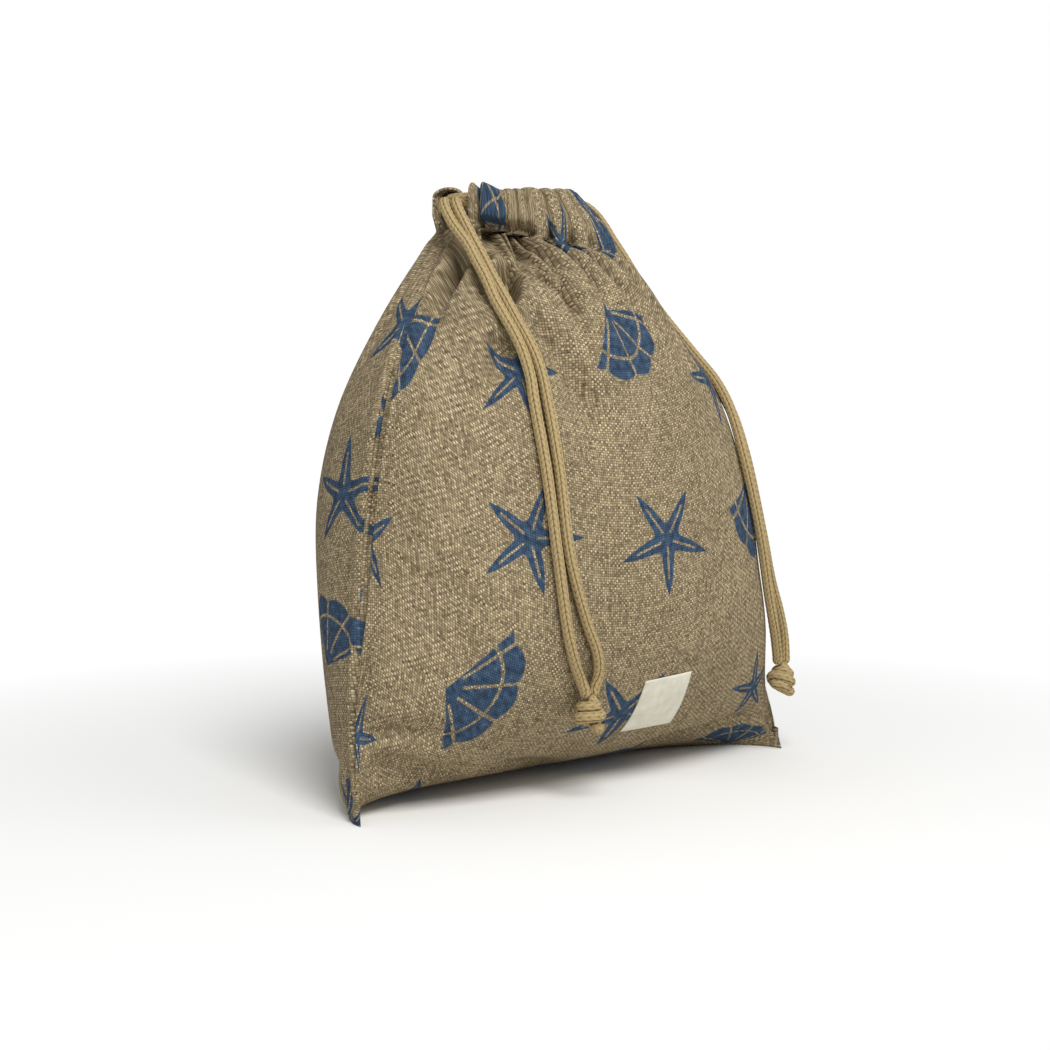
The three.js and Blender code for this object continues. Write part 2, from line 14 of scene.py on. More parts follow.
import bpy
import numpy as np
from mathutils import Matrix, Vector

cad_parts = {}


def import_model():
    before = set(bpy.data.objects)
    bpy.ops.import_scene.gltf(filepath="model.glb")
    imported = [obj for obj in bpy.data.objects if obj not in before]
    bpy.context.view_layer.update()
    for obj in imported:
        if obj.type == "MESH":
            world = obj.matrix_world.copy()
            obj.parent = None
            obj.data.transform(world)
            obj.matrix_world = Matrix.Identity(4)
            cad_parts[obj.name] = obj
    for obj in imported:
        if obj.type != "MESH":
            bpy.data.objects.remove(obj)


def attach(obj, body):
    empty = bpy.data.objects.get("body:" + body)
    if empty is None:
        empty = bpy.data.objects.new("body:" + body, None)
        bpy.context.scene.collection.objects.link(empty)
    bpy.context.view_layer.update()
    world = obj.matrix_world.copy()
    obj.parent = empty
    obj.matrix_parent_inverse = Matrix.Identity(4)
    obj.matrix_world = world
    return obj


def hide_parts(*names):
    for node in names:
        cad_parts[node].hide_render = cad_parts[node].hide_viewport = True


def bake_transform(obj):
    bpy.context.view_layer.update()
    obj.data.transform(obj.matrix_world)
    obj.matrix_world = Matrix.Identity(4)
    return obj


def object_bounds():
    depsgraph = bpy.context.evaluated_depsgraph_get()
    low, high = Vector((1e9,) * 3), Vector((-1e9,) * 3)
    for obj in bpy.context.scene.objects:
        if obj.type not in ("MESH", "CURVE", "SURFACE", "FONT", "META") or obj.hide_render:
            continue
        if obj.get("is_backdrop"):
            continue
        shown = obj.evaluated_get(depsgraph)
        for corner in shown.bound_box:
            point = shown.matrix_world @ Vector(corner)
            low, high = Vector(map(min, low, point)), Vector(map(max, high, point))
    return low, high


LOG = logging.getLogger("bag")
MM = 0.001
WHITE = (1, 1, 1, 1)
# A small step of a share u or t, to find a direction by.
NUDGE = 2e-3
# Steps between two given points of a line, before it is cut evenly.
FINE_STEPS = 60

Array = np.ndarray
Points = tuple[tuple[float, ...], ...]
Pair = tuple[float, float]
Place = tuple[float, float, float]
Node = bpy.types.Node
Socket = bpy.types.NodeSocket
Material = bpy.types.Material
Object = bpy.types.Object


class Side(Enum):
    """The two panels. The value is the panel's direction along Y."""

    FRONT = -1
    BACK = 1


class Hand(Enum):
    """The two drawcords. The value is the direction along X in which a cord comes out."""

    LEFT = -1
    RIGHT = 1


def smooth(x: Array | float) -> Array:
    """Smoothstep: 0 below 0, 1 above 1 and 3x^2 - 2x^3 between."""
    s = np.clip(x, 0.0, 1.0)
    return s * s * (3.0 - 2.0 * s)


def mix(a: Array | float, b: Array | float, share: Array | float) -> Array:
    """A straight mix: a at share 0 and b at share 1."""
    return a + (b - a) * share


def unit(vectors: Array) -> Array:
    """Vectors of length 1, along the last axis."""
    return vectors / np.maximum(np.linalg.norm(vectors, axis=-1, keepdims=True), 1e-12)


def curve(points: Array, t: Array) -> Array:
    """A centripetal Catmull-Rom line, whose tangents weigh each span by the square root of its length.

    Args:
        points: the line's points, one per row.
        t: places on the line, 0 at the first point and 1 at the last, even by point number.

    Returns:
        The places, with the points' coordinates along the last axis.
    """
    p = np.asarray(points, float)
    ends = np.vstack([2 * p[0] - p[1], p, 2 * p[-1] - p[-2]])
    place = np.clip(np.asarray(t, float), 0, 1) * (len(p) - 1)
    k = np.minimum(place.astype(int), len(p) - 2)
    w = (place - k)[..., None]
    a, b, c, d = ends[k], ends[k + 1], ends[k + 2], ends[k + 3]
    da, db, dc = (np.sqrt(np.linalg.norm(v, axis=-1))[..., None] for v in (b - a, c - b, d - c))
    m1 = ((b - a) / da - (c - a) / (da + db) + (c - b) / db) * db
    m2 = ((c - b) / db - (d - b) / (db + dc) + (d - c) / dc) * db
    return b + m1 * w + (3 * (c - b) - 2 * m1 - m2) * w**2 + (2 * (b - c) + m1 + m2) * w**3


def lengths(points: Array) -> Array:
    """The way along a line to each of its points, 0 at the first."""
    return np.r_[0, np.cumsum(np.linalg.norm(np.diff(points, axis=0), axis=1))]


def even_path(points: Array, step: float) -> Array:
    """The line of curve() through points, cut into even steps along its length."""
    fine = curve(points, np.linspace(0, 1, FINE_STEPS * len(points)))
    along = lengths(fine)
    places = np.linspace(0, along[-1], max(4, round(along[-1] / step) + 1))
    return np.stack([np.interp(places, along, fine[:, i]) for i in range(3)], axis=-1)


def linear(colour: str) -> tuple[float, float, float, float]:
    """An sRGB hex colour as linear RGBA."""
    parts = [int(colour[i : i + 2], 16) / 255 for i in (1, 3, 5)]
    levels = [c / 12.92 if c <= 0.04045 else ((c + 0.055) / 1.055) ** 2.4 for c in parts]
    return (*levels, 1.0)


def add(
    tree: bpy.types.NodeTree, kind: str, settings: dict | None = None, links: dict | None = None
) -> Node:
    """Adds a node with its settings and links.

    Args:
        tree: the tree that gets the node.
        kind: the node's type, without its leading "ShaderNode".
        settings: the node's own properties.
        links: its inputs by name or number, each a socket to link or a constant.

    Returns:
        The node.
    """
    node = tree.nodes.new("ShaderNode" + kind)
    for key, value in (settings or {}).items():
        setattr(node, key, value)
    for key, value in (links or {}).items():
        if isinstance(value, Socket):
            tree.links.new(value, node.inputs[key])
        else:
            node.inputs[key].default_value = value
    return node


class Graph:
    """A material's nodes, with short forms for the nodes it uses most."""

    def __init__(self, name: str) -> None:
        """Starts an empty material of that name."""
        self.material = bpy.data.materials.new(name)
        self.material.use_nodes = True
        self.tree = self.material.node_tree
        self.tree.nodes.clear()

    def node(self, kind: str, settings: dict | None = None, links: dict | None = None) -> Node:
        """Adds a node to this material; see add()."""
        return add(self.tree, kind, settings, links)

    def math(self, operation: str, *values: object, clamp: bool = False) -> Socket:
        """The result of one arithmetic operation on sockets and constants."""
        settings = {"operation": operation, "use_clamp": clamp}
        return self.node("Math", settings, dict(enumerate(values))).outputs[0]

    def times(self, one: object, two: object) -> Socket:
        """The product of two numbers."""
        return self.math("MULTIPLY", one, two)

    def vector(self, operation: str, *values: object) -> Socket:
        """The vector that one operation on vectors gives."""
        return self.node("VectorMath", {"operation": operation}, dict(enumerate(values))).outputs[0]

    def scaled(self, vector: Socket, scale: float) -> Socket:
        """A vector times a number."""
        return self.node("VectorMath", {"operation": "SCALE"}, {0: vector, "Scale": scale}).outputs[0]

    def length(self, vector: Socket) -> Socket:
        """A vector's length."""
        return self.node("VectorMath", {"operation": "LENGTH"}, {0: vector}).outputs["Value"]

    def ramp(
        self, value: object, low: float, high: float, first: float = 0.0, last: float = 1.0
    ) -> Socket:
        """Value between low and high, carried over to the range from first to last and held there."""
        links = {"Value": value, "From Min": low, "From Max": high, "To Min": first, "To Max": last}
        return self.node("MapRange", {"clamp": True}, links).outputs["Result"]

    def noise(
        self, place: Socket, scale: float, detail: float, roughness: float = 0.5, out: str = "Fac"
    ) -> Socket:
        """Soft noise, as a number or, with "Color" for out, as a vector."""
        links = {"Vector": place, "Scale": scale, "Detail": detail, "Roughness": roughness}
        return self.node("TexNoise", None, links).outputs[out]

    def tint(self, share: object, first: object, second: object) -> Socket:
        """First colour at share 0, second at share 1."""
        return self.node("Mix", {"data_type": "RGBA"}, {0: share, 6: first, 7: second}).outputs[2]

    def shade(self, colour: Socket, value: Socket) -> Socket:
        """A colour made lighter or darker by a factor."""
        return self.node("HueSaturation", None, {"Color": colour, "Value": value}).outputs[0]

    def bump(self, height: Socket, strength: float, distance: float) -> Socket:
        """The surface's direction, bent by a height."""
        links = {"Height": height, "Strength": strength, "Distance": distance}
        return self.node("Bump", None, links).outputs[0]

    def finish(self, shader: Socket) -> Material:
        """Links the surface and returns the material."""
        self.node("OutputMaterial", None, {"Surface": shader})
        return self.material

    def fibre(self, colour: Socket, roughness: float, shine: float, **links: Socket) -> Material:
        """Ends the material as a matt fibre of that colour, with any further links by input name."""
        inputs = {"Base Color": colour, "Roughness": roughness, "Specular IOR Level": shine, **links}
        return self.finish(self.node("BsdfPrincipled", None, inputs).outputs[0])


def grid_quads(index: Array, flip: bool) -> Array:
    """Quads over a grid of vertex numbers, turned over where flip is true."""
    corners = [index[:-1, :-1], index[:-1, 1:], index[1:, 1:], index[1:, :-1]]
    quads = np.stack(corners, axis=-1).reshape(-1, 4)
    return quads[:, ::-1] if flip else quads


def grid_normals(points: Array) -> Array:
    """Unit normals of a grid of points: the cross product of its column and row directions."""
    return unit(np.cross(np.gradient(points, axis=1), np.gradient(points, axis=0)))


def numbered(grid: Array, first: int = 0) -> Array:
    """Vertex numbers for a grid of points, counted on from first."""
    return first + np.arange(grid.shape[0] * grid.shape[1]).reshape(grid.shape[:2])


def listed(*grids: Array) -> Array:
    """The rows of grids of points or places, one after another."""
    return np.concatenate([grid.reshape(-1, grid.shape[-1]) for grid in grids])


def rim_quads(quads: Array, count: int) -> Array:
    """Quads that close a shell whose second layer's vertices follow count after the first layer's.

    An edge used by one quad only is on the rim.
    """
    edges = np.stack([quads, np.roll(quads, -1, axis=1)], axis=-1).reshape(-1, 2)
    keys = np.sort(edges, axis=1)
    key = keys[:, 0].astype(np.int64) * (count + 1) + keys[:, 1]
    _, first, uses = np.unique(key, return_index=True, return_counts=True)
    rim = edges[first[uses == 1]]
    return np.stack([rim[:, 1], rim[:, 0], rim[:, 0] + count, rim[:, 1] + count], axis=-1)


def mesh_object(
    name: str,
    points: Array,
    faces: list,
    material: Material,
    maps: dict[str, Array] | None = None,
    values: dict[str, Array] | None = None,
) -> Object:
    """A smooth mesh at the origin.

    Args:
        name: the object's name.
        points: its vertices.
        faces: lists of vertex numbers.
        material: its finish.
        maps: UV maps by name, one place per vertex.
        values: number attributes by name, one per vertex.

    Returns:
        The object, linked to the scene.
    """
    mesh = bpy.data.meshes.new(name)
    mesh.from_pydata(points.tolist(), [], faces)
    mesh.polygons.foreach_set("use_smooth", np.ones(len(mesh.polygons), bool))
    corner = np.zeros(len(mesh.loops), np.int32)
    mesh.loops.foreach_get("vertex_index", corner)
    for key, places in (maps or {}).items():
        layer = mesh.uv_layers.new(name=key)
        layer.data.foreach_set("uv", places[corner].astype(np.float32).ravel())
    for key, numbers in (values or {}).items():
        mesh.attributes.new(key, "FLOAT", "POINT").data.foreach_set("value", numbers.astype(np.float32))
    mesh.materials.append(material)
    mesh.update()
    made = bpy.data.objects.new(name, mesh)
    bpy.context.scene.collection.objects.link(made)
    return made


def shell_object(
    name: str,
    outer: Array,
    inner: Array,
    quads: Array,
    material: Material,
    maps: dict[str, Array] | None = None,
) -> Object:
    """A closed sheet of cloth between two layers of points.

    Args:
        name: the object's name.
        outer: the outer layer's vertices.
        inner: the inner layer's, in the same order.
        quads: the outer layer's faces.
        material: its finish.
        maps: UV maps by name, one place per vertex of a layer.

    Returns:
        The object, its inner faces turned over and its rim closed.
    """
    count = len(outer)
    faces = np.vstack([quads, quads[:, ::-1] + count, rim_quads(quads, count)])
    both = {key: np.vstack([places, places]) for key, places in (maps or {}).items()}
    return mesh_object(name, np.vstack([outer, inner]), faces.tolist(), material, both)


class Mouth(NamedTuple):
    """The casing's middle layer at places round the mouth.

    Its foot is on the stitch line. Along is the way up from there to the top fold, out the level way
    out of the mouth, and square the way square out of the leaning casing.
    """

    foot: Array
    along: Array
    length: Array
    lean: Array
    out: Array
    square: Array


class Section(NamedTuple):
    """A panel's section: an ellipse up to rise and from round on, with its highest power at squarest."""

    power: float
    rise: float
    squarest: float
    round: float


@dataclass(frozen=True)
class BagForm:
    """The filled bag without its folds: outlines of the side seams and of each panel's middle, and arches.

    The body stands a little left of its bottom seam. The mouth is an ellipse whose casing is upright at
    the left and leans towards the right, where its foot spreads into the shoulder.
    """

    half_width: float = 0.165
    half_depth: float = 0.095
    height: float = 0.35
    neck: float = 0.318
    shift: float = -0.004
    shift_share: float = 0.3
    lean_share: float = 0.72
    mouth_x: float = 0.036
    mouth_y: float = 0.024
    mouth_left: float = -0.012
    mouth_back: float = 0.015
    casing: float = 0.025
    casing_half: float = 0.00495
    top_drop: float = 0.003
    foot_drop: float = 0.014
    flare: float = 0.036
    lane_spread: float = 0.45
    neck_out: float = 0.00135
    level_from: float = 0.9
    level_span: float = 0.1
    gap: float = 0.0003
    # Shares of half the width, half the depth and the neck's height, from the bottom seam up.
    side_seam: Points = (
        (1, -0.53, 0), (0.985, -0.49, 0.06), (0.96, -0.43, 0.145), (0.93, -0.39, 0.25),
        (0.885, -0.37, 0.37), (0.84, -0.35, 0.53), (0.735, -0.25, 0.71), (0.59, -0.1, 0.835),
        (0.435, 0.03, 0.93), (0.269, 0.158, 1),
    )
    front_middle: Points = (
        (0.2, 0), (-0.34, 0.04), (-0.74, 0.13), (-0.95, 0.25), (-1, 0.37),
        (-0.98, 0.53), (-0.875, 0.71), (-0.725, 0.835), (-0.515, 0.93), (-0.14, 1),
    )
    back_middle: Points = (
        (0.2, 0), (0.45, -0.02), (0.63, 0.05), (0.8, 0.18), (0.94, 0.34),
        (1, 0.52), (0.93, 0.7), (0.805, 0.83), (0.625, 0.93), (0.456, 1),
    )
    front_section: Section = Section(2.25, 0.0, 0.38, 0.62)
    back_section: Section = Section(2.65, 0.22, 0.6, 0.98)

    def seam(self, t: Array) -> Array:
        """The right side seam at heights t; the left one mirrors it."""
        return curve(np.array(self.side_seam) * [self.half_width, self.half_depth, self.neck], t)

    def middle(self, side: Side, t: Array) -> Array:
        """A panel's middle line at heights t."""
        shares = np.array(self.front_middle if side is Side.FRONT else self.back_middle)
        return curve(np.c_[np.zeros(len(shares)), shares * [self.half_depth, self.neck]], t)

    def mouth(self, angle: Array) -> Mouth:
        """The casing at angles round the mouth, from the middle of the front towards the right."""
        sin, cos = np.sin(angle), np.cos(angle)
        lean = (1 + sin) / 2
        out = unit(np.stack([sin / self.mouth_x, -cos / self.mouth_y, 0 * sin], -1))
        plan = [self.mouth_left + self.mouth_x * sin, self.mouth_back - self.mouth_y * cos]
        top = np.stack([*plan, self.height - self.top_drop * lean], -1)
        foot = np.stack([*plan, self.height - self.casing - self.foot_drop * lean], -1)
        foot = foot + out * (self.flare * lean**2)[..., None]
        length = np.linalg.norm(top - foot, axis=-1) - self.gap
        along = unit(top - foot)
        square = out * along[..., 2:]
        square[..., 2] = -np.sum(along * out, axis=-1)
        return Mouth(foot, along, length, lean, out, square)

    def angle(self, side: Side, u: Array) -> Array:
        """The angle round the mouth of shares u across a panel."""
        return u * np.pi / 2 if side is Side.FRONT else np.pi - u * np.pi / 2

    def lane(self, angle: Array, below: float) -> Array:
        """A cord's line in the casing, this far below the top fold's middle, further where it leans."""
        mouth = self.mouth(angle)
        up = mouth.length - self.casing_half - below * (1 + self.lane_spread * mouth.lean)
        return mouth.foot + mouth.along * up[..., None] + np.array([0, 0, self.gap])

    def plain(self, side: Side, u: Array, t: Array) -> Array:
        """A panel before its neck leans: a superellipse arch from seam to seam, flat on the floor."""
        seam, middle = self.seam(t), self.middle(side, t)
        section = self.front_section if side is Side.FRONT else self.back_section
        across = np.sin(u * np.pi / 2)
        square = smooth((t - section.rise) / (section.squarest - section.rise))
        square = square * (1 - smooth((t - section.squarest) / (section.round - section.squarest)))
        power = 2 + (section.power - 2) * square
        arch = np.maximum(0, 1 - np.abs(across) ** power) ** (1 / power)
        out = seam + (middle - seam) * arch[..., None]
        out[..., 0] = seam[..., 0] * across + self.shift * smooth(t / self.shift_share)
        out[..., 2] = np.maximum(0, out[..., 2])
        return out

    def panel(self, side: Side, u: Array, t: Array) -> Array:
        """A panel's outer face: plain() bent over to the stitch line by the square of the way up there."""
        u, t = np.broadcast_arrays(np.asarray(u, float), np.asarray(t, float))
        mouth = self.mouth(self.angle(side, u))
        bent = np.maximum(0, (t - self.lean_share) / (1 - self.lean_share)) ** 2
        move = mouth.foot + mouth.out * self.neck_out - self.plain(side, u, np.ones_like(t))
        return self.plain(side, u, t) + move * bent[..., None]

    def outward(self, side: Side, u: Array, t: Array) -> Array:
        """The way square out of a panel, level at the neck: the cross product of its two directions."""
        u, t = np.broadcast_arrays(np.asarray(u, float), np.asarray(t, float))
        right, left = np.minimum(u + NUDGE, 1), np.maximum(u - NUDGE, -1)
        upper, lower = np.minimum(t + NUDGE, 1), np.maximum(t - NUDGE, 0)
        along_u = self.panel(side, right, t) - self.panel(side, left, t)
        along_t = self.panel(side, u, upper) - self.panel(side, u, lower)
        out = unit(np.cross(along_u, along_t) * -side.value)
        out[..., 2] *= 1 - smooth((t - self.level_from) / self.level_span)
        return unit(out)

    def seam_distance(self, side: Side, u: Array, t: Array) -> Array:
        """Roughly how far a point lies from the nearer side seam, its row taken as a quarter ellipse."""
        seam, middle = self.seam(t), self.middle(side, t)
        span = seam[..., 0] ** 2 + np.sum((middle - seam)[..., 1:] ** 2, axis=-1)
        return (1 - np.abs(u)) * np.pi / 2 * np.sqrt(span / 2)


@dataclass(frozen=True)
class Fold:
    """A crease or a soft fold along a line on a panel.

    The height is in millimetres, negative for a valley, and falls away on each side as
    exp(-(d / reach)^sharp). The reaches are to the right and to the left of someone who walks along the
    line. The fold rises over the share begin of its line and runs out over the share end.
    """

    path: Points
    height: float
    right: float
    left: float
    sharp: float = 2.0
    begin: float = 0.25
    end: float = 0.3
    steps: int = 90

    def relief(self, form: BagForm, side: Side, u: Array, t: Array, points: Array) -> Array:
        """How far the fold moves each point out, in metres.

        Args:
            form: the bag.
            side: the panel.
            u: shares across the panel.
            t: shares up the panel.
            points: the panel's points at u and t.

        Returns:
            One number per point.
        """
        line = curve(np.array(self.path), np.linspace(0, 1, self.steps))
        places = form.panel(side, line[:, 0], line[:, 1])
        flat = points.reshape(-1, 3)
        square = np.sum(flat**2, axis=1)[:, None] - 2 * flat @ places.T + np.sum(places**2, axis=1)
        near = np.argmin(square, axis=1)
        distance = np.sqrt(np.maximum(0, square[np.arange(len(near)), near]))
        way = np.gradient(line, axis=0)[near]
        hand = (u.ravel() - line[near, 0]) * way[:, 1] - (t.ravel() - line[near, 1]) * way[:, 0]
        reach = np.where(hand > 0, self.right, self.left) * MM
        share = near / (len(line) - 1)
        fade = smooth(share / self.begin) if self.begin > 0 else 1.0
        fade = fade * smooth((1 - share) / self.end)
        return (self.height * MM * fade * np.exp(-((distance / reach) ** self.sharp))).reshape(u.shape)


@dataclass(frozen=True)
class Ridge:
    """One gathered fold at the neck.

    Its middle and half width are shares u, its height is in millimetres, and it begins to rise at the
    share low of the way up the panel.
    """

    middle: float
    half: float
    height: float
    low: float


def aimed(name: str, data: bpy.types.ID, place: Place, aim: Place) -> Object:
    """A camera or a lamp, set at a place and turned to look at a point."""
    made = bpy.data.objects.new(name, data)
    made.location = place
    made.rotation_euler = (Vector(aim) - Vector(place)).to_track_quat("-Z", "Y").to_euler()
    bpy.context.scene.collection.objects.link(made)
    return made


class Lamp(NamedTuple):
    """A square soft lamp, its size in metres and its power in watts."""

    name: str
    place: Place
    size: float
    power: float


@dataclass(frozen=True)
class Studio:
    """The camera, a white floor that keeps the shadow, and soft light from the front left.

    The floor turns to plain white between the distances clear and white from the origin. The sky's
    strength is what lights the bag.
    """

    eye: Place = (-0.7257, -0.8502, 0.235)
    target: Place = (-0.0163, -0.0093, 0.151)
    lens: float = 63.91
    sensor: float = 36.0
    clip_end: float = 100.0
    floor_size: float = 30.0
    paper: str = "#f4f4f2"
    clear: float = 0.14
    white: float = 0.55
    sky: float = 0.42
    lit: Place = (0.0, 0.0, 0.15)
    lamps: tuple[Lamp, ...] = (
        Lamp("key lamp", (-0.55, -1.2, 1.6), 0.9, 32.0),
        Lamp("fill lamp", (1.3, -1.4, 0.9), 1.2, 5.0),
    )

    def camera(self) -> None:
        """Sets the camera where the photograph was taken from."""
        data = bpy.data.cameras.new("camera")
        data.sensor_width = self.sensor
        data.lens = self.lens
        data.clip_end = self.clip_end
        bpy.context.scene.camera = aimed("camera", data, self.eye, self.target)

    def floor(self) -> None:
        """Lays a matt white floor that turns to plain white, to the camera alone, away from the bag."""
        g = Graph("matt white paper floor")
        far = g.ramp(g.length(g.node("TexCoord").outputs["Object"]), self.clear, self.white)
        seen = g.node("LightPath").outputs["Is Camera Ray"]
        paper = g.node("BsdfDiffuse", None, {"Color": linear(self.paper)}).outputs[0]
        plain = g.node("Emission", None, {"Color": WHITE, "Strength": 1.0}).outputs[0]
        shader = g.node("MixShader", None, {0: g.times(far, seen), 1: paper, 2: plain}).outputs[0]
        half = self.floor_size / 2
        corners = np.array([[-half, -half, 0], [half, -half, 0], [half, half, 0], [-half, half, 0]])
        mesh_object("floor", corners, [[0, 1, 2, 3]], g.finish(shader))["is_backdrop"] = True

    def light(self, lamp: Lamp) -> None:
        """Adds a lamp, aimed at the bag."""
        data = bpy.data.lights.new(lamp.name, "AREA")
        data.size = lamp.size
        data.energy = lamp.power
        aimed(lamp.name, data, lamp.place, self.lit)

    def world(self) -> None:
        """A pale even sky, white to the camera."""
        world = bpy.data.worlds.new("studio")
        world.use_nodes = True
        tree = world.node_tree
        tree.nodes.clear()
        seen = add(tree, "LightPath").outputs["Is Camera Ray"]
        levels = {"Value": seen, "To Min": self.sky, "To Max": 1.0}
        strength = add(tree, "MapRange", None, levels).outputs["Result"]
        sky = add(tree, "Background", None, {"Color": WHITE, "Strength": strength})
        add(tree, "OutputWorld", None, {"Surface": sky.outputs[0]})
        bpy.context.scene.world = world

    def build(self) -> None:
        """Builds the whole studio."""
        bpy.context.scene.view_settings.view_transform = "Standard"
        self.camera()
        self.floor()
        self.world()
        for lamp in self.lamps:
            self.light(lamp)


# How the ink ends, in metres outside and inside a motif's edge.
INK_EDGE = (-0.0003, 0.0005)


@dataclass(frozen=True)
class SeaStar:
    """A printed sea star, in metres.

    Its edge swings out from the inner radius once for each arm, and a vein is left open along each arm.
    """

    arms: int = 5
    inner: float = 0.0075
    swing: float = 0.018
    point: float = 2.6
    vein: Pair = (0.0006, 0.0011)
    vein_from: Pair = (0.003, 0.004)
    vein_to: Pair = (0.017, 0.018)

    def ink(self, g: Graph, x: Socket, y: Socket, reach: Socket) -> Socket:
        """Where the ink lies, by the place about the star's middle and the reach from there."""
        angle = g.times(g.math("ARCTAN2", y, x), self.arms / (2 * math.pi))
        arm = g.times(g.math("PINGPONG", angle, 0.5), 2)
        edge = g.math("MULTIPLY_ADD", g.math("POWER", arm, self.point), self.swing, self.inner)
        star = g.ramp(g.math("SUBTRACT", edge, reach), *INK_EDGE)
        beside = g.times(g.math("SUBTRACT", 1, arm), reach)
        vein = g.times(g.ramp(beside, *self.vein, 1, 0), g.ramp(reach, *self.vein_from))
        vein = g.times(vein, g.ramp(reach, *self.vein_to, 1, 0))
        return g.math("SUBTRACT", star, vein, clamp=True)


@dataclass(frozen=True)
class Scallop:
    """A printed scallop, in metres: a fan round its hinge, with a scalloped edge.

    Its ribs, and a ring across them, are left open as lines.
    """

    hinge: float = 0.017
    radius: float = 0.034
    wave: float = 0.0025
    waves: float = 5.6
    spread: Pair = (0.98, 1.02)
    line: Pair = (0.0005, 0.001)
    rib_from: Pair = (0.008, 0.009)
    ring: float = 0.0265

    def ink(self, g: Graph, x: Socket, y: Socket) -> Socket:
        """Where the ink lies, by the place about the motif's middle, which is above the hinge."""
        up = g.math("ADD", y, self.hinge)
        fan = g.math("SQRT", g.math("ADD", g.times(x, x), g.times(up, up)))
        lean = g.math("ARCTAN2", x, up)
        swing = g.math("ABSOLUTE", g.math("COSINE", g.times(lean, self.waves)))
        edge = g.math("MULTIPLY_ADD", swing, self.wave, self.radius)
        shell = g.ramp(g.math("SUBTRACT", edge, fan), *INK_EDGE)
        shell = g.times(shell, g.ramp(g.math("ABSOLUTE", lean), *self.spread, 1, 0))
        rib = g.times(g.times(swing, fan), 1 / self.waves)
        rib = g.times(g.ramp(rib, *self.line, 1, 0), g.ramp(fan, *self.rib_from))
        ring = g.ramp(g.math("ABSOLUTE", g.math("SUBTRACT", fan, self.ring)), *self.line, 1, 0)
        return g.math("SUBTRACT", shell, g.math("MAXIMUM", rib, ring), clamp=True)


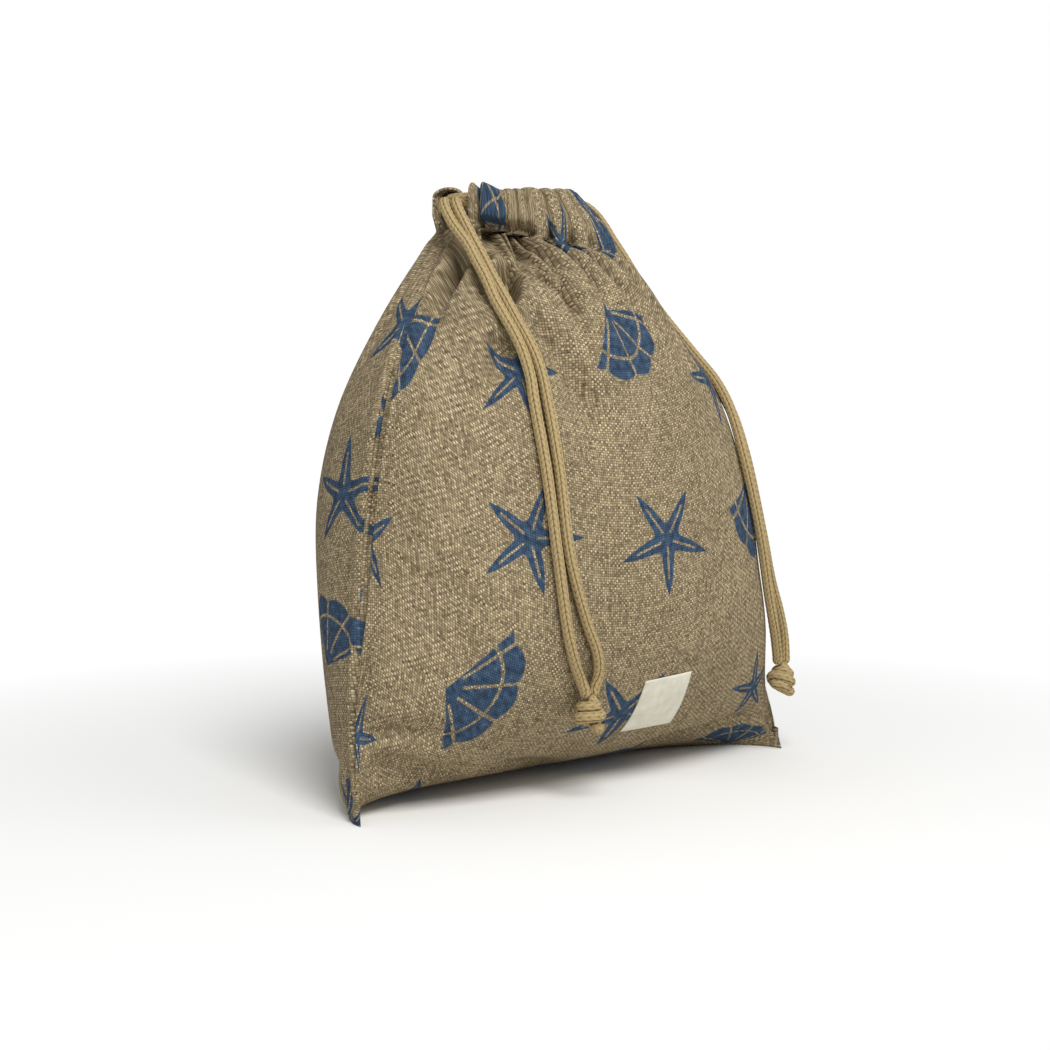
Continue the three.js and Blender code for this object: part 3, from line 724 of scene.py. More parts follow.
@dataclass(frozen=True)
class PrintedLinen:
    """Slubby plain-weave linen in undyed flax, screen printed with sea stars and scallops in one blue.

    The cell is the pitch of the yarns in metres. The real one is a little finer, near 1.25 mm, and is
    drawn coarser so that it shows at the picture's scale. A pair is the two ends of a range.
    """

    cell: float = 0.0014
    pitch: float = 0.1
    stray: float = 0.35
    motif_size: float = 1.3
    star: SeaStar = SeaStar()
    scallop: Scallop = Scallop()
    warp: str = "#beae8e"
    weft: str = "#a29170"
    # gap is painted shade: the dark that the gaps between the yarns get.
    gap: str = "#5f503b"
    slub: str = "#6a5a42"
    ink: str = "#20374f"
    worn_ink: str = "#3f5d7c"
    sway: float = 0.9
    sway_scale: float = 90.0
    roundness: float = 0.5
    crossing: float = 0.12
    drawn_out: float = 0.05
    slub_scale: float = 0.9
    slub_roughness: float = 0.7
    warp_slubs: Pair = (0.3, 0.48)
    weft_slubs: Pair = (0.32, 0.5)
    spun: Pair = (0.45, 1.25)
    gap_shade_edge: Pair = (0.1, 0.75)
    cloud_scale: float = 14.0
    cloud: Pair = (0.9, 1.08)
    wear_scale: float = 0.35
    wear: Pair = (0.35, 0.7)
    bare: Pair = (0.62, 0.85)
    cover: Pair = (0.95, 0.55)
    # Painted shade on the ink: its factor in the gaps between the yarns, and on their tops a touch lighter.
    ink_gap_shade: Pair = (0.45, 1.05)

    def motif(self, g: Graph) -> Socket:
        """Where the ink lies: a motif in each cell of a loose grid on the flat cloth, turned at random."""
        place = g.node("UVMap", {"uv_map": "print"}).outputs["UV"]
        links = {"Vector": place, "Scale": 1 / self.pitch, "Randomness": self.stray}
        cells = g.node("TexVoronoi", {"voronoi_dimensions": "2D"}, links)
        chance = g.node("SeparateColor", None, {0: cells.outputs["Color"]})
        local = g.scaled(g.vector("SUBTRACT", place, cells.outputs["Position"]), 1 / self.motif_size)
        links = {"Vector": local, "Angle": g.times(chance.outputs[0], 2 * math.pi)}
        turned = g.node("VectorRotate", {"rotation_type": "Z_AXIS"}, links).outputs[0]
        x, y, _ = g.node("SeparateXYZ", None, {0: turned}).outputs
        star = self.star.ink(g, x, y, g.length(turned))
        shell = self.scallop.ink(g, x, y)
        chosen = g.math("GREATER_THAN", chance.outputs[1], 0.5)
        return g.node("Mix", {"data_type": "FLOAT"}, {0: chosen, 2: star, 3: shell}).outputs[0]

    def yarn(self, g: Graph, place: Socket, colour: str, slubs: Pair) -> Socket:
        """The tint of the yarns of one direction, with slubs over that range of the noise at place."""
        slub = g.noise(place, self.slub_scale, 3.0, self.slub_roughness)
        return g.tint(g.ramp(slub, *slubs, 1, 0), linear(colour), linear(self.slub))

    def bare_cloth(self, g: Graph, place: Socket, yarns: Socket, cross: Socket, height: Socket) -> Socket:
        """The unprinted cloth's colour, with painted shade in the gaps between the yarns.

        Each yarn keeps its own tint for a few centimetres, but no two floats are spun alike, which breaks
        the weave up into light and dark specks.

        Args:
            g: the material.
            place: the place in metres.
            yarns: the place, counted in yarns.
            cross: above 0 where the warp lies over the weft.
            height: how high the yarn stands, from 0 in a gap to 1.

        Returns:
            The colour.
        """
        along_warp = g.vector("MULTIPLY", yarns, (1.0, self.drawn_out, 0.0))
        along_weft = g.vector("MULTIPLY", yarns, (self.drawn_out, 1.0, 0.0))
        warp = self.yarn(g, along_warp, self.warp, self.warp_slubs)
        weft = self.yarn(g, along_weft, self.weft, self.weft_slubs)
        yarn = g.tint(g.ramp(cross, -self.crossing, self.crossing), weft, warp)
        each = g.vector("FLOOR", yarns)
        spun = g.node("TexWhiteNoise", {"noise_dimensions": "2D"}, {"Vector": each}).outputs["Value"]
        yarn = g.shade(yarn, g.ramp(spun, 0, 1, *self.spun))
        # Painted shade: the colour goes to gap where the yarn lies low, between the yarns.
        cloth = g.tint(g.ramp(height, *self.gap_shade_edge), linear(self.gap), yarn)
        cloud = g.noise(place, self.cloud_scale, 3.0)
        return g.shade(cloth, g.ramp(cloud, 0.3, 0.7, *self.cloud))

    def material(self) -> Material:
        """Pale oval floats with painted shade in the gaps between, and ink, painted darker in the gaps,
        that wears off in patches.
        """
        g = Graph("plain-weave undyed linen, screen printed blue")
        place = g.node("UVMap", {"uv_map": "weave"}).outputs["UV"]
        sway = g.noise(place, self.sway_scale, 2.0, out="Color")
        sway = g.vector("SUBTRACT", sway, (0.5, 0.5, 0.5))
        moved = g.vector("ADD", place, g.scaled(sway, self.sway * self.cell))
        yarns = g.scaled(moved, 1 / self.cell)
        across, up, _ = g.node("SeparateXYZ", None, {0: yarns}).outputs
        cross = g.times(*(g.math("SINE", g.times(way, math.pi)) for way in (across, up)))
        height = g.math("POWER", g.math("ABSOLUTE", cross), self.roundness)
        cloth = self.bare_cloth(g, place, yarns, cross, height)
        rough = g.noise(yarns, self.wear_scale, 4.0)
        ink = g.tint(g.ramp(rough, *self.wear), linear(self.ink), linear(self.worn_ink))
        # Painted shade on the ink: darker where the yarn lies low, between the yarns.
        ink = g.shade(ink, g.ramp(height, 0.0, 0.8, *self.ink_gap_shade))
        cover = g.times(self.motif(g), g.ramp(rough, *self.bare, *self.cover))
        return g.fibre(g.tint(cover, cloth, ink), 0.93, 0.15, Normal=g.bump(height, 0.55, 0.0005))


@dataclass(frozen=True)
class BraidedCotton:
    """Soft undyed cotton, braided: warm straw-coloured stitches, with painted brown shade between them."""

    # high is the stitches' own colour; low is painted shade, the brown of the grooves between them.
    high: str = "#ae996f"
    low: str = "#5a4a30"
    yarn_scale: float = 900.0
    yarn_shade: float = 0.14

    def material(self) -> Material:
        """Painted shade: stitches darker the lower they lie in the braid, with fine yarn lines along them.
        """
        g = Graph("braided undyed cotton cord")
        level = g.node("Attribute", {"attribute_name": "braid"}).outputs["Fac"]
        noise = g.noise(g.node("TexCoord").outputs["Object"], self.yarn_scale, 3.0)
        uneven = g.ramp(noise, 0.3, 0.7, -self.yarn_shade, self.yarn_shade)
        shade = g.math("ADD", level, uneven, clamp=True)
        # Painted shade: where the braid lies low, between the stitches, the colour goes to the brown of
        # low.
        colour = g.tint(g.ramp(shade, 0.05, 0.8), linear(self.low), linear(self.high))
        return g.fibre(colour, 0.9, 0.15, Normal=g.bump(noise, 0.35, 0.0003))


@dataclass(frozen=True)
class LabelTape:
    """Smooth cream cotton tape, woven too finely to show: plain and pale beside the linen."""

    colour: str = "#dedacb"
    cloud: str = "#d2cdbb"
    cloud_scale: float = 160.0

    def material(self) -> Material:
        """A matt cream with the faintest cloudiness."""
        g = Graph("cream woven cotton tape")
        noise = g.noise(g.node("TexCoord").outputs["Object"], self.cloud_scale, 3.0)
        colour = g.tint(g.ramp(noise, 0.35, 0.65), linear(self.cloud), linear(self.colour))
        return g.fibre(colour, 0.85, 0.2)


@dataclass(frozen=True)
class Braid:
    """A round braided cord: columns of slanting leaf-shaped stitches, neighbours slanting opposite ways.

    A stitch's height is the root of (1 - |x|^wide) (1 - |y|^long), with x and y from -1 to 1 across and
    along it.
    """

    diameter: float = 0.0065
    columns: int = 8
    stitch: float = 0.0036
    depth: float = 0.13
    slant: float = 0.42
    wide: float = 2.4
    long: float = 3.0
    blunt: float = 0.12
    around: int = 48
    step: float = 0.00045

    def tube(self, name: str, points: Array, across: Place, material: Material) -> Object:
        """A closed tube along the line through points, its radius lower between the stitches.

        Args:
            name: the object's name.
            points: the line's points in metres.
            across: a direction that the line never runs along, which fixes the tube's turning.
            material: its finish.

        Returns:
            The tube.
        """
        path = even_path(points, self.step)
        way = unit(np.gradient(path, axis=0))
        first = unit(np.array(across) - way * (way @ np.array(across))[:, None])
        second = np.cross(way, first)
        along = lengths(path)[:, None]
        angle = np.arange(self.around)[None, :] * 2 * np.pi / self.around
        column = angle * self.columns / (2 * np.pi)
        x = 2 * (column % 1) - 1 + 1 / (self.around / self.columns)
        slant = np.where(column.astype(int) % 2 == 0, self.slant, -self.slant)
        y = 2 * ((along / self.stitch + slant * x) % 1) - 1
        leaf = np.maximum(0, 1 - np.abs(x) ** self.wide) * np.maximum(0, 1 - np.abs(y) ** self.long)
        high = np.sqrt(leaf)
        ends = np.minimum(along, along[-1] - along) / (self.diameter / 2)
        cap = np.sqrt(np.clip(1 - (1 - np.clip(ends + self.blunt, 0, 1)) ** 2, 0, 1))
        radius = (self.diameter / 2 * (1 - self.depth * (1 - high)) * cap)[..., None]
        ring = first[:, None, :] * np.cos(angle)[..., None] + second[:, None, :] * np.sin(angle)[..., None]
        shell = path[:, None, :] + ring * radius
        index = numbered(shell)
        faces = grid_quads(np.c_[index, index[:, :1]], False).tolist()
        following = np.roll(index, -1, axis=1)
        start, end = (np.full(self.around, index.size + pole) for pole in (0, 1))
        faces += np.stack([following[0], index[0], start], axis=-1).tolist()
        faces += np.stack([index[-1], following[-1], end], axis=-1).tolist()
        vertices = np.vstack([listed(shell), path[0], path[-1]])
        return mesh_object(name, vertices, faces, material, None, {"braid": np.r_[high.ravel(), 0.5, 0.5]})


@dataclass(frozen=True)
class Drawcord:
    """One drawcord: its run round the mouth with the two leads at its slit, two hanging strands, a knot.

    The exit, where the leads begin, and the points that bring the run there are in millimetres from the
    point of the cord's line at its side seam. The run leaves the line at the shares in leaves, front and
    rear. The knot's place, its ball's radius, its top and its free end are in millimetres too, its tip
    is in degrees, and polar is the range of its turns from the ball's top, in radians.
    """

    hand: Hand
    below: float
    exit: Pair
    way: Pair
    run_front: Points
    run_rear: Points
    leaves: Pair
    front: Points
    rear: Points
    knot: Place
    wraps: float
    tip: float
    free_end: Place
    form: BagForm
    braid: Braid
    lead: float = 0.007
    turn_over: float = 0.1
    route_step: float = 0.002
    run_points: int = 40
    sag: float = 0.003
    sag_share: float = 0.35
    ball: float = 6.2
    polar: Pair = (0.45, 2.55)
    first_turn: float = 0.1
    knot_points: int = 80
    knot_top: Place = (0.0, 0.0, 10.5)

    @property
    def name(self) -> str:
        """left or right."""
        return self.hand.name.lower()

    def run(self, material: Material) -> Object:
        """The part in the casing: in at the slit, once round the mouth, and out beside itself."""
        side, form = self.hand.value, self.form
        share = np.linspace(self.leaves[0], -2 - self.leaves[1], self.run_points)
        around = form.lane(side * share * np.pi / 2, self.below)
        inside = np.minimum(self.leaves[0] - share, share + 2 + self.leaves[1])
        around[:, 2] -= self.sag * smooth(inside / self.sag_share)
        end = form.lane(np.array(side * np.pi / 2), self.below)
        way = np.array([*self.way, 0.0])
        beside = np.array([-way[1], way[0], 0.0]) * side * (self.braid.diameter + form.gap) / 2
        exit_place = end + np.array([*self.exit, 0.0]) * MM
        sides = []
        for sign, run in ((-1, self.run_front), (1, self.run_rear)):
            points = end + np.c_[np.array(run), np.zeros(len(run))] * MM
            leads = [exit_place + beside * sign + way * reach for reach in (0, self.lead)]
            sides.append(np.vstack([points, leads]))
        points = np.vstack([sides[0][::-1], around, sides[1]])
        made = self.braid.tube(f"{self.name}_cord_in_casing", points, (0, 0, 1), material)
        names = [f"{self.name}_{strand}_lead" for strand in ("front", "rear")]
        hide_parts(f"{self.name}_cord_run", *names)
        f"{self.name}_lead"
        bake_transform(made)
        return made

    def strand(self, which: str, material: Material, knot: Object) -> Object:
        """A hanging strand, which bends over from the slit and then runs down to the knot."""
        points = np.array(self.front if which == "front" else self.rear) * MM
        made = self.braid.tube(f"{self.name}_{which}_hanging", points, (0, 0.7, -0.7), material)
        path = even_path(points, self.route_step)
        length = float(np.sum(np.linalg.norm(np.diff(path, axis=0), axis=1)))
        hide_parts(f"{self.name}_{which}_strand")
        f"{self.name}_lead"
        f"{self.name}_tail"
        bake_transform(made)
        LOG.info("%s: %.0f mm", made.name, length / MM)
        return made

    def knot_path(self) -> Array:
        """The knot's line: a spiral from the strands down round a tipped ball, and a short free end."""
        share = np.linspace(0, 1, self.knot_points)
        turn = 2 * np.pi * (self.wraps * share + self.first_turn)
        polar = mix(*self.polar, share)
        ball = [np.sin(polar) * np.cos(turn), -np.sin(polar) * np.sin(turn), np.cos(polar)]
        ball = np.stack(ball, -1) * self.ball
        cos, sin = math.cos(math.radians(self.tip)), math.sin(math.radians(self.tip))
        tipped = np.array([[cos, 0, sin], [0, 1, 0], [-sin, 0, cos]])
        points = np.vstack([self.knot_top, ball @ tipped.T, self.free_end])
        return (points + np.array(self.knot)) * MM

    def tie(self, material: Material) -> Object:
        """The knot that joins the two strands."""
        made = self.braid.tube(f"{self.name}_tied_knot", self.knot_path(), (0.1, 0.2, 1), material)
        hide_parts(f"{self.name}_knot")
        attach(made, f"{self.name}_tail")
        return made

    def build(self, material: Material) -> list[Object]:
        """Builds the cord's pieces."""
        knot = self.tie(material)
        made = [self.run(material), knot]
        made += [self.strand(which, material, knot) for which in ("front", "rear")]
        return made


@dataclass(frozen=True)
class ClothPanel:
    """One printed linen panel with its folds, gathered at the neck and folded over into the casing.

    A pair is where something begins on the way up the panel and the share that it takes.
    """

    side: Side
    form: BagForm
    ridges: tuple[Ridge, ...]
    folds: tuple[Fold, ...]
    crown: Points
    lip: float
    cloth: float = 0.0012
    floor_gap: float = 0.0002
    flat_width: float = 0.39
    flat_length: float = 0.44
    back_print: float = 3.0
    # The grid: more rows above row_split, and columns closer together at the seams.
    columns: int = 240
    spacing: float = 0.4
    low_rows: int = 62
    high_rows: int = 88
    row_split: float = 0.55
    # The gathers and the creases between them.
    gather_power: float = 1.3
    lay_over: float = -0.75
    lay_over_fade: float = 0.2
    crease: float = 0.008
    crease_half: float = 0.035
    crease_power: float = 1.3
    # What fades towards the seams, and the groove and the lip along them.
    seam_fade: float = 0.012
    bottom_fade: float = 0.08
    seam_shared: float = 0.014
    seam_thin: float = 0.008
    seam_least: float = 0.03
    bottom_rise: float = 0.4
    groove: float = 0.0038
    groove_half: float = 0.002
    lip_place: float = 0.0048
    lip_half: float = 0.003
    groove_rise: Pair = (0.04, 0.08)
    groove_fall: Pair = (0.72, 0.2)
    # The casing's rows, and how much of the gathers its wall, its fold and its hem keep.
    casing_share: float = 0.711
    wall_rows: int = 24
    bend_rows: int = 17
    hem_rows: int = 16
    hem_edge: float = -0.0022
    hem_length: float = 0.95
    hump: float = 0.25
    wall_gain: float = 0.85
    hem_gain: float = 0.4
    edge_gain: float = 0.2

    def gathers(self, u: Array, t: Array) -> Array:
        """The gathered folds: arches that touch in valleys at the neck and run out softly below it."""
        out = np.zeros(np.broadcast(u, t).shape)
        for ridge in self.ridges:
            rise = smooth((t - ridge.low) / (1 - ridge.low)) ** self.gather_power
            q = np.abs(u - ridge.middle) / ridge.half
            arch = np.sqrt(np.maximum(0, 1 - q**2))
            soft = np.where(q < 1, np.cos(np.minimum(q, 1) * np.pi / 2) ** 2, 0)
            out = np.maximum(out, ridge.height * MM * rise * mix(soft, arch, rise))
        return out

    def creases(self, u: Array, t: Array) -> Array:
        """The creases between neighbouring gathered folds, deepest at the neck: exp(-|d / half|^power)."""
        out = np.zeros(np.broadcast(u, t).shape)
        for one, two in zip(self.ridges, self.ridges[1:]):
            valley = (one.middle + one.half + two.middle - two.half) / 2
            low = (one.low + two.low) / 2
            rise = smooth((t - low) / (1 - low))
            away = np.abs((u - valley) / self.crease_half)
            out = out - self.crease * rise * np.exp(-(away**self.crease_power))
        return out

    def relief(self, u: Array, t: Array) -> Array:
        """How far the cloth stands off the bag's plain form, with a groove and a lip along each seam."""
        points = self.form.panel(self.side, u, t)
        total = self.gathers(u, t) + self.creases(u, t)
        for fold in self.folds:
            total = total + fold.relief(self.form, self.side, u, t, points)
        away = self.form.seam_distance(self.side, u, t)
        total = total * smooth(away / self.seam_fade) * smooth(t / self.bottom_fade)
        groove = -self.groove * np.exp(-((away / self.groove_half) ** 2))
        groove = groove + self.lip * np.exp(-(((away - self.lip_place) / self.lip_half) ** 2))
        rise, fall = (smooth((t - low) / span) for low, span in (self.groove_rise, self.groove_fall))
        return total + groove * rise * (1 - fall)

    def edge(self, u: Array, t: Array) -> Array:
        """Roughly how far a point lies from the nearest seam, the bottom one included."""
        return np.minimum(self.form.seam_distance(self.side, u, t), t * self.bottom_rise)

    def laid(self, u: Array, height: Array) -> Array:
        """How far gathered folds of that height lie over to the left, and not at all beside the slits."""
        return self.lay_over * height * smooth((self.casing_share - np.abs(u)) / self.lay_over_fade)

    def surface(self, u: Array, t: Array) -> Array:
        """The panel's outer face with its relief, both panels sharing one direction at the seams."""
        form, side = self.form, self.side
        other = Side.BACK if side is Side.FRONT else Side.FRONT
        shared = smooth(1 - self.edge(u, t) / self.seam_shared)[..., None]
        way = unit(form.outward(side, u, t) + shared * form.outward(other, u, t))
        aside = form.panel(side, np.minimum(u + NUDGE, 1), t) - form.panel(side, u - NUDGE, t)
        over = self.laid(u, self.gathers(u, t))[..., None]
        out = form.panel(side, u, t) + way * self.relief(u, t)[..., None] + unit(aside) * over
        out[..., 1] += side.value * form.gap / 2
        out[..., 2] = np.maximum(self.floor_gap, out[..., 2])
        return out

    def casing(self, u: Array, neck: Array) -> Array:
        """The casing above the neck: outer wall, round top fold and inner hem, swelling over each fold.

        Args:
            u: the casing's columns.
            neck: the relief of those columns at the neck.

        Returns:
            Rows of points, from the first row above the neck to the hem's free edge inside.
        """
        form = self.form
        mouth = form.mouth(form.angle(self.side, u))
        wall, hem = (np.linspace(0, 1, rows)[1:] for rows in (self.wall_rows, self.hem_rows))
        bend = np.linspace(0, np.pi, self.bend_rows)[1:]
        half = form.casing_half
        flat, hollow = np.zeros(len(wall)), np.zeros(len(hem))
        outer = mix(form.neck_out, half, smooth(wall / 0.5))
        across = np.r_[outer, half * np.cos(bend), mix(-half, self.hem_edge, smooth(hem))]
        share = np.r_[wall, np.ones(len(bend)), 1 - self.hem_length * hem][:, None]
        lift = np.r_[flat, np.sin(bend), hollow][:, None]
        away = np.r_[flat + 1, np.cos(bend), hollow - 1][:, None]
        kept = [
            mix(1, self.wall_gain, smooth(wall / 0.4)),
            mix(self.wall_gain, self.hem_gain, smooth(bend / np.pi)),
            mix(self.hem_gain, self.edge_gain, hem),
        ]
        start = np.r_[1 - smooth(wall / 0.35), np.zeros(len(bend) + len(hem))][:, None]
        gathers = self.gathers(u, np.ones(1))[None, :] * np.concatenate(kept)[:, None]
        swell = mix(gathers, neck[None, :], start)
        crown = np.interp(u, *np.array(self.crown).T) * MM
        up = share * (mouth.length - half)[None, :] + half * lift
        up = up + self.hump * lift * swell + crown * smooth(share)
        shift = across[:, None] + away * swell
        way = unit(mix(mouth.square[None], mouth.out[None], start[..., None]))
        foot = mouth.foot + np.array([0, 0, form.gap])
        aside = unit(np.gradient(mouth.foot, axis=0))[None] * self.laid(u, swell)[..., None]
        return foot[None] + mouth.along[None] * up[..., None] + way * shift[..., None] + aside

    def build(self, material: Material) -> Object:
        """Builds the panel and its casing as one closed shell of cloth."""
        side, name = self.side, self.side.name.lower()
        spread = np.linspace(-1, 1, self.columns + 1)
        columns = spread + self.spacing * np.sin(np.pi * spread) / np.pi
        low = np.linspace(0, self.row_split, self.low_rows + 1)[:-1]
        rows = np.r_[low, np.linspace(self.row_split, 1, self.high_rows + 1)]
        u, t = np.meshgrid(columns, rows)
        panel = self.surface(u, t)
        inside = np.flatnonzero(np.abs(columns) <= self.casing_share)
        neck = self.relief(u[-1:, inside], t[-1:, inside])[0]
        casing = self.casing(columns[inside], neck)
        casing[..., 1] += side.value * self.form.gap / 2
        grid = numbered(panel)
        joined = np.vstack([grid[-1:, inside], numbered(casing, grid.size)])
        flip = side is Side.BACK
        quads = np.vstack([grid_quads(grid, flip), grid_quads(joined, flip)])
        wall = self.cloth * np.clip(self.seam_least + smooth(self.edge(u, t) / self.seam_thin), 0, 1)
        upper_normals = grid_normals(np.concatenate([panel[-1:, inside], casing]))[1:]
        panel_in = panel + side.value * grid_normals(panel) * wall[..., None]
        panel_in[..., 2] = np.maximum(2 * self.floor_gap, panel_in[..., 2])
        casing_in = casing + side.value * upper_normals * self.cloth
        maps = self.maps(self.form.panel(side, u, t), casing, columns, inside)
        outer, inner = listed(panel, casing), listed(panel_in, casing_in)
        made = shell_object(f"{name}_linen", outer, inner, quads, material, maps)
        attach(made, "bag")
        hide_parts(f"{name}_panel", f"{name}_casing")
        LOG.info("%s: %d faces", made.name, len(made.data.polygons))
        return made

    def maps(self, panel: Array, casing: Array, columns: Array, inside: Array) -> dict[str, Array]:
        """Two maps of the cloth in metres: by length along its rows and columns, and as it was cut.

        Args:
            panel: the panel's grid of points without its folds.
            casing: the casing's.
            columns: the shares u of the columns.
            inside: the numbers of the casing's columns.

        Returns:
            The weave map and the print map, one place per vertex of one layer.
        """
        middle = panel.shape[1] // 2
        across = np.zeros(panel.shape[:2])
        across[:, 1:] = np.cumsum(np.linalg.norm(np.diff(panel, axis=1), axis=-1), axis=1)
        across -= across[:, middle : middle + 1]
        up = np.zeros(panel.shape[:2])
        up[1:] = np.cumsum(np.linalg.norm(np.diff(panel, axis=0), axis=-1), axis=0)
        both = np.concatenate([panel[-1:, inside], casing])
        steps = np.cumsum(np.linalg.norm(np.diff(both, axis=0), axis=-1), axis=0)
        casing_across = np.broadcast_to(across[-1, inside], steps.shape)
        woven = ([across, up], [casing_across, up[-1, inside] + steps])
        wide = columns * self.flat_width / 2 + (self.back_print if self.side is Side.BACK else 0.0)
        tall = up[:, middle]
        casing_tall = tall[-1] + steps[:, len(inside) // 2]
        cut = (np.meshgrid(wide, tall), np.meshgrid(wide[inside], casing_tall))
        weave, flat = (listed(*(np.stack(grid, -1) for grid in grids)) for grids in (woven, cut))
        return {"weave": weave, "print": flat}


@dataclass(frozen=True)
class SewnLabel:
    """A square of cream tape sewn flat on the lower right of the front panel."""

    panel: ClothPanel
    corners: Points = ((0.062, 0.19), (0.232, 0.19), (0.22, 0.296), (0.06, 0.291))
    cells: int = 36
    off: float = 0.0002
    thickness: float = 0.0006
    puff: float = 0.0006
    flat: Pair = (0.038, 0.040)

    def build(self, material: Material) -> Object:
        """Lays a bilinear patch of shares on the panel's face, lifted in its middle."""
        share = np.linspace(0, 1, self.cells + 1)
        a, b = np.meshgrid(share, share)
        weights = [(1 - a) * (1 - b), a * (1 - b), a * b, (1 - a) * b]
        places = sum(w[..., None] * np.array(corner) for w, corner in zip(weights, self.corners))
        base = self.panel.surface(places[..., 0], places[..., 1])
        out = grid_normals(base)
        lift = self.puff * (np.sin(np.pi * a) * np.sin(np.pi * b)) ** 0.5
        outer = base + out * (self.off + self.thickness + lift)[..., None]
        inner = base + out * self.off
        quads = grid_quads(numbered(base), False)
        made = shell_object("sewn_label", listed(outer), listed(inner), quads, material)
        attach(made, "bag")
        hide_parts("label")
        LOG.info("%s: %.0f by %.0f mm", made.name, self.flat[0] / MM, self.flat[1] / MM)
        return made


@dataclass(frozen=True)
class SeamAllowance:
    """The two cut edges of cloth inside a seam, pressed together into one narrow strip.

    The spans are the shares of a seam that the strip follows, and the insets the shares of the way in
    that show which way the strip points.
    """

    name: str
    form: BagForm
    width: float = 0.008
    thickness: float = 0.0016
    inset: float = 0.0045
    rows: int = 7
    side_span: Pair = (0.03, 0.93)
    side_points: int = 120
    side_inset: float = 0.94
    bottom_span: Pair = (-0.94, 0.94)
    bottom_points: int = 160
    bottom_inset: float = 0.97
    bottom_up: float = 0.045
    lowest: float = 0.0015
    print_shift: float = 9.0

    def line(self) -> tuple[Array, Array]:
        """The seam's points and, at each, the way into the bag midway between the panels."""
        if self.name == "bottom":
            u = np.linspace(*self.bottom_span, self.bottom_points)
            t = np.zeros(len(u))
            inner_u, inner_t = u * self.bottom_inset, t + self.bottom_up
        else:
            t = np.linspace(*self.side_span, self.side_points)
            u = np.full(len(t), -1.0 if self.name == "left" else 1.0)
            inner_u, inner_t = u * self.side_inset, t
        seam = self.form.panel(Side.FRONT, u, t)
        front, back = (self.form.panel(side, inner_u, inner_t) for side in Side)
        return seam, unit((front + back) / 2 - seam)

    def build(self, material: Material) -> Object:
        """A flat closed strip that follows the seam inside the bag."""
        seam, inward = self.line()
        across = np.linspace(self.inset, self.inset + self.width, self.rows)
        sheet = seam[None] + inward[None] * across[:, None, None]
        half = grid_normals(sheet) * self.thickness / 2
        outer, inner = listed(sheet + half), listed(sheet - half)
        for layer in (outer, inner):
            layer[:, 2] = np.maximum(self.lowest, layer[:, 2])
        flat = listed(np.stack(np.meshgrid(lengths(seam), across), -1))
        maps = {"weave": flat, "print": flat + self.print_shift}
        quads = grid_quads(numbered(sheet), False)
        made = shell_object(f"{self.name}_seam_strip", outer, inner, quads, material, maps)
        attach(made, "bag")
        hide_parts(f"{self.name}_seam_allowance")
        LOG.info("%s", made.name)
        return made


FRONT_RIDGES = (
    Ridge(-0.91, 0.09, 4.5, 0.66), Ridge(-0.70, 0.115, 8.0, 0.72), Ridge(-0.49, 0.09, 7.5, 0.78),
    Ridge(-0.365, 0.045, 2.5, 0.84), Ridge(-0.27, 0.05, 4.0, 0.8), Ridge(-0.175, 0.045, 4.0, 0.82),
    Ridge(-0.03, 0.10, 6.0, 0.62), Ridge(0.16, 0.09, 6.0, 0.7), Ridge(0.34, 0.09, 6.5, 0.66),
    Ridge(0.53, 0.10, 6.5, 0.72), Ridge(0.72, 0.09, 6.0, 0.78), Ridge(0.90, 0.09, 4.5, 0.78),
)
BACK_RIDGES = (
    Ridge(-0.90, 0.10, 4.5, 0.66), Ridge(-0.70, 0.10, 6.5, 0.62), Ridge(-0.50, 0.10, 7.5, 0.7),
    Ridge(-0.31, 0.09, 6.0, 0.64), Ridge(-0.15, 0.07, 4.5, 0.76), Ridge(0.02, 0.10, 7.0, 0.6),
    Ridge(0.22, 0.10, 6.0, 0.7), Ridge(0.40, 0.08, 5.5, 0.66), Ridge(0.57, 0.09, 7.0, 0.62),
    Ridge(0.75, 0.09, 6.0, 0.72), Ridge(0.91, 0.09, 4.5, 0.78),
)
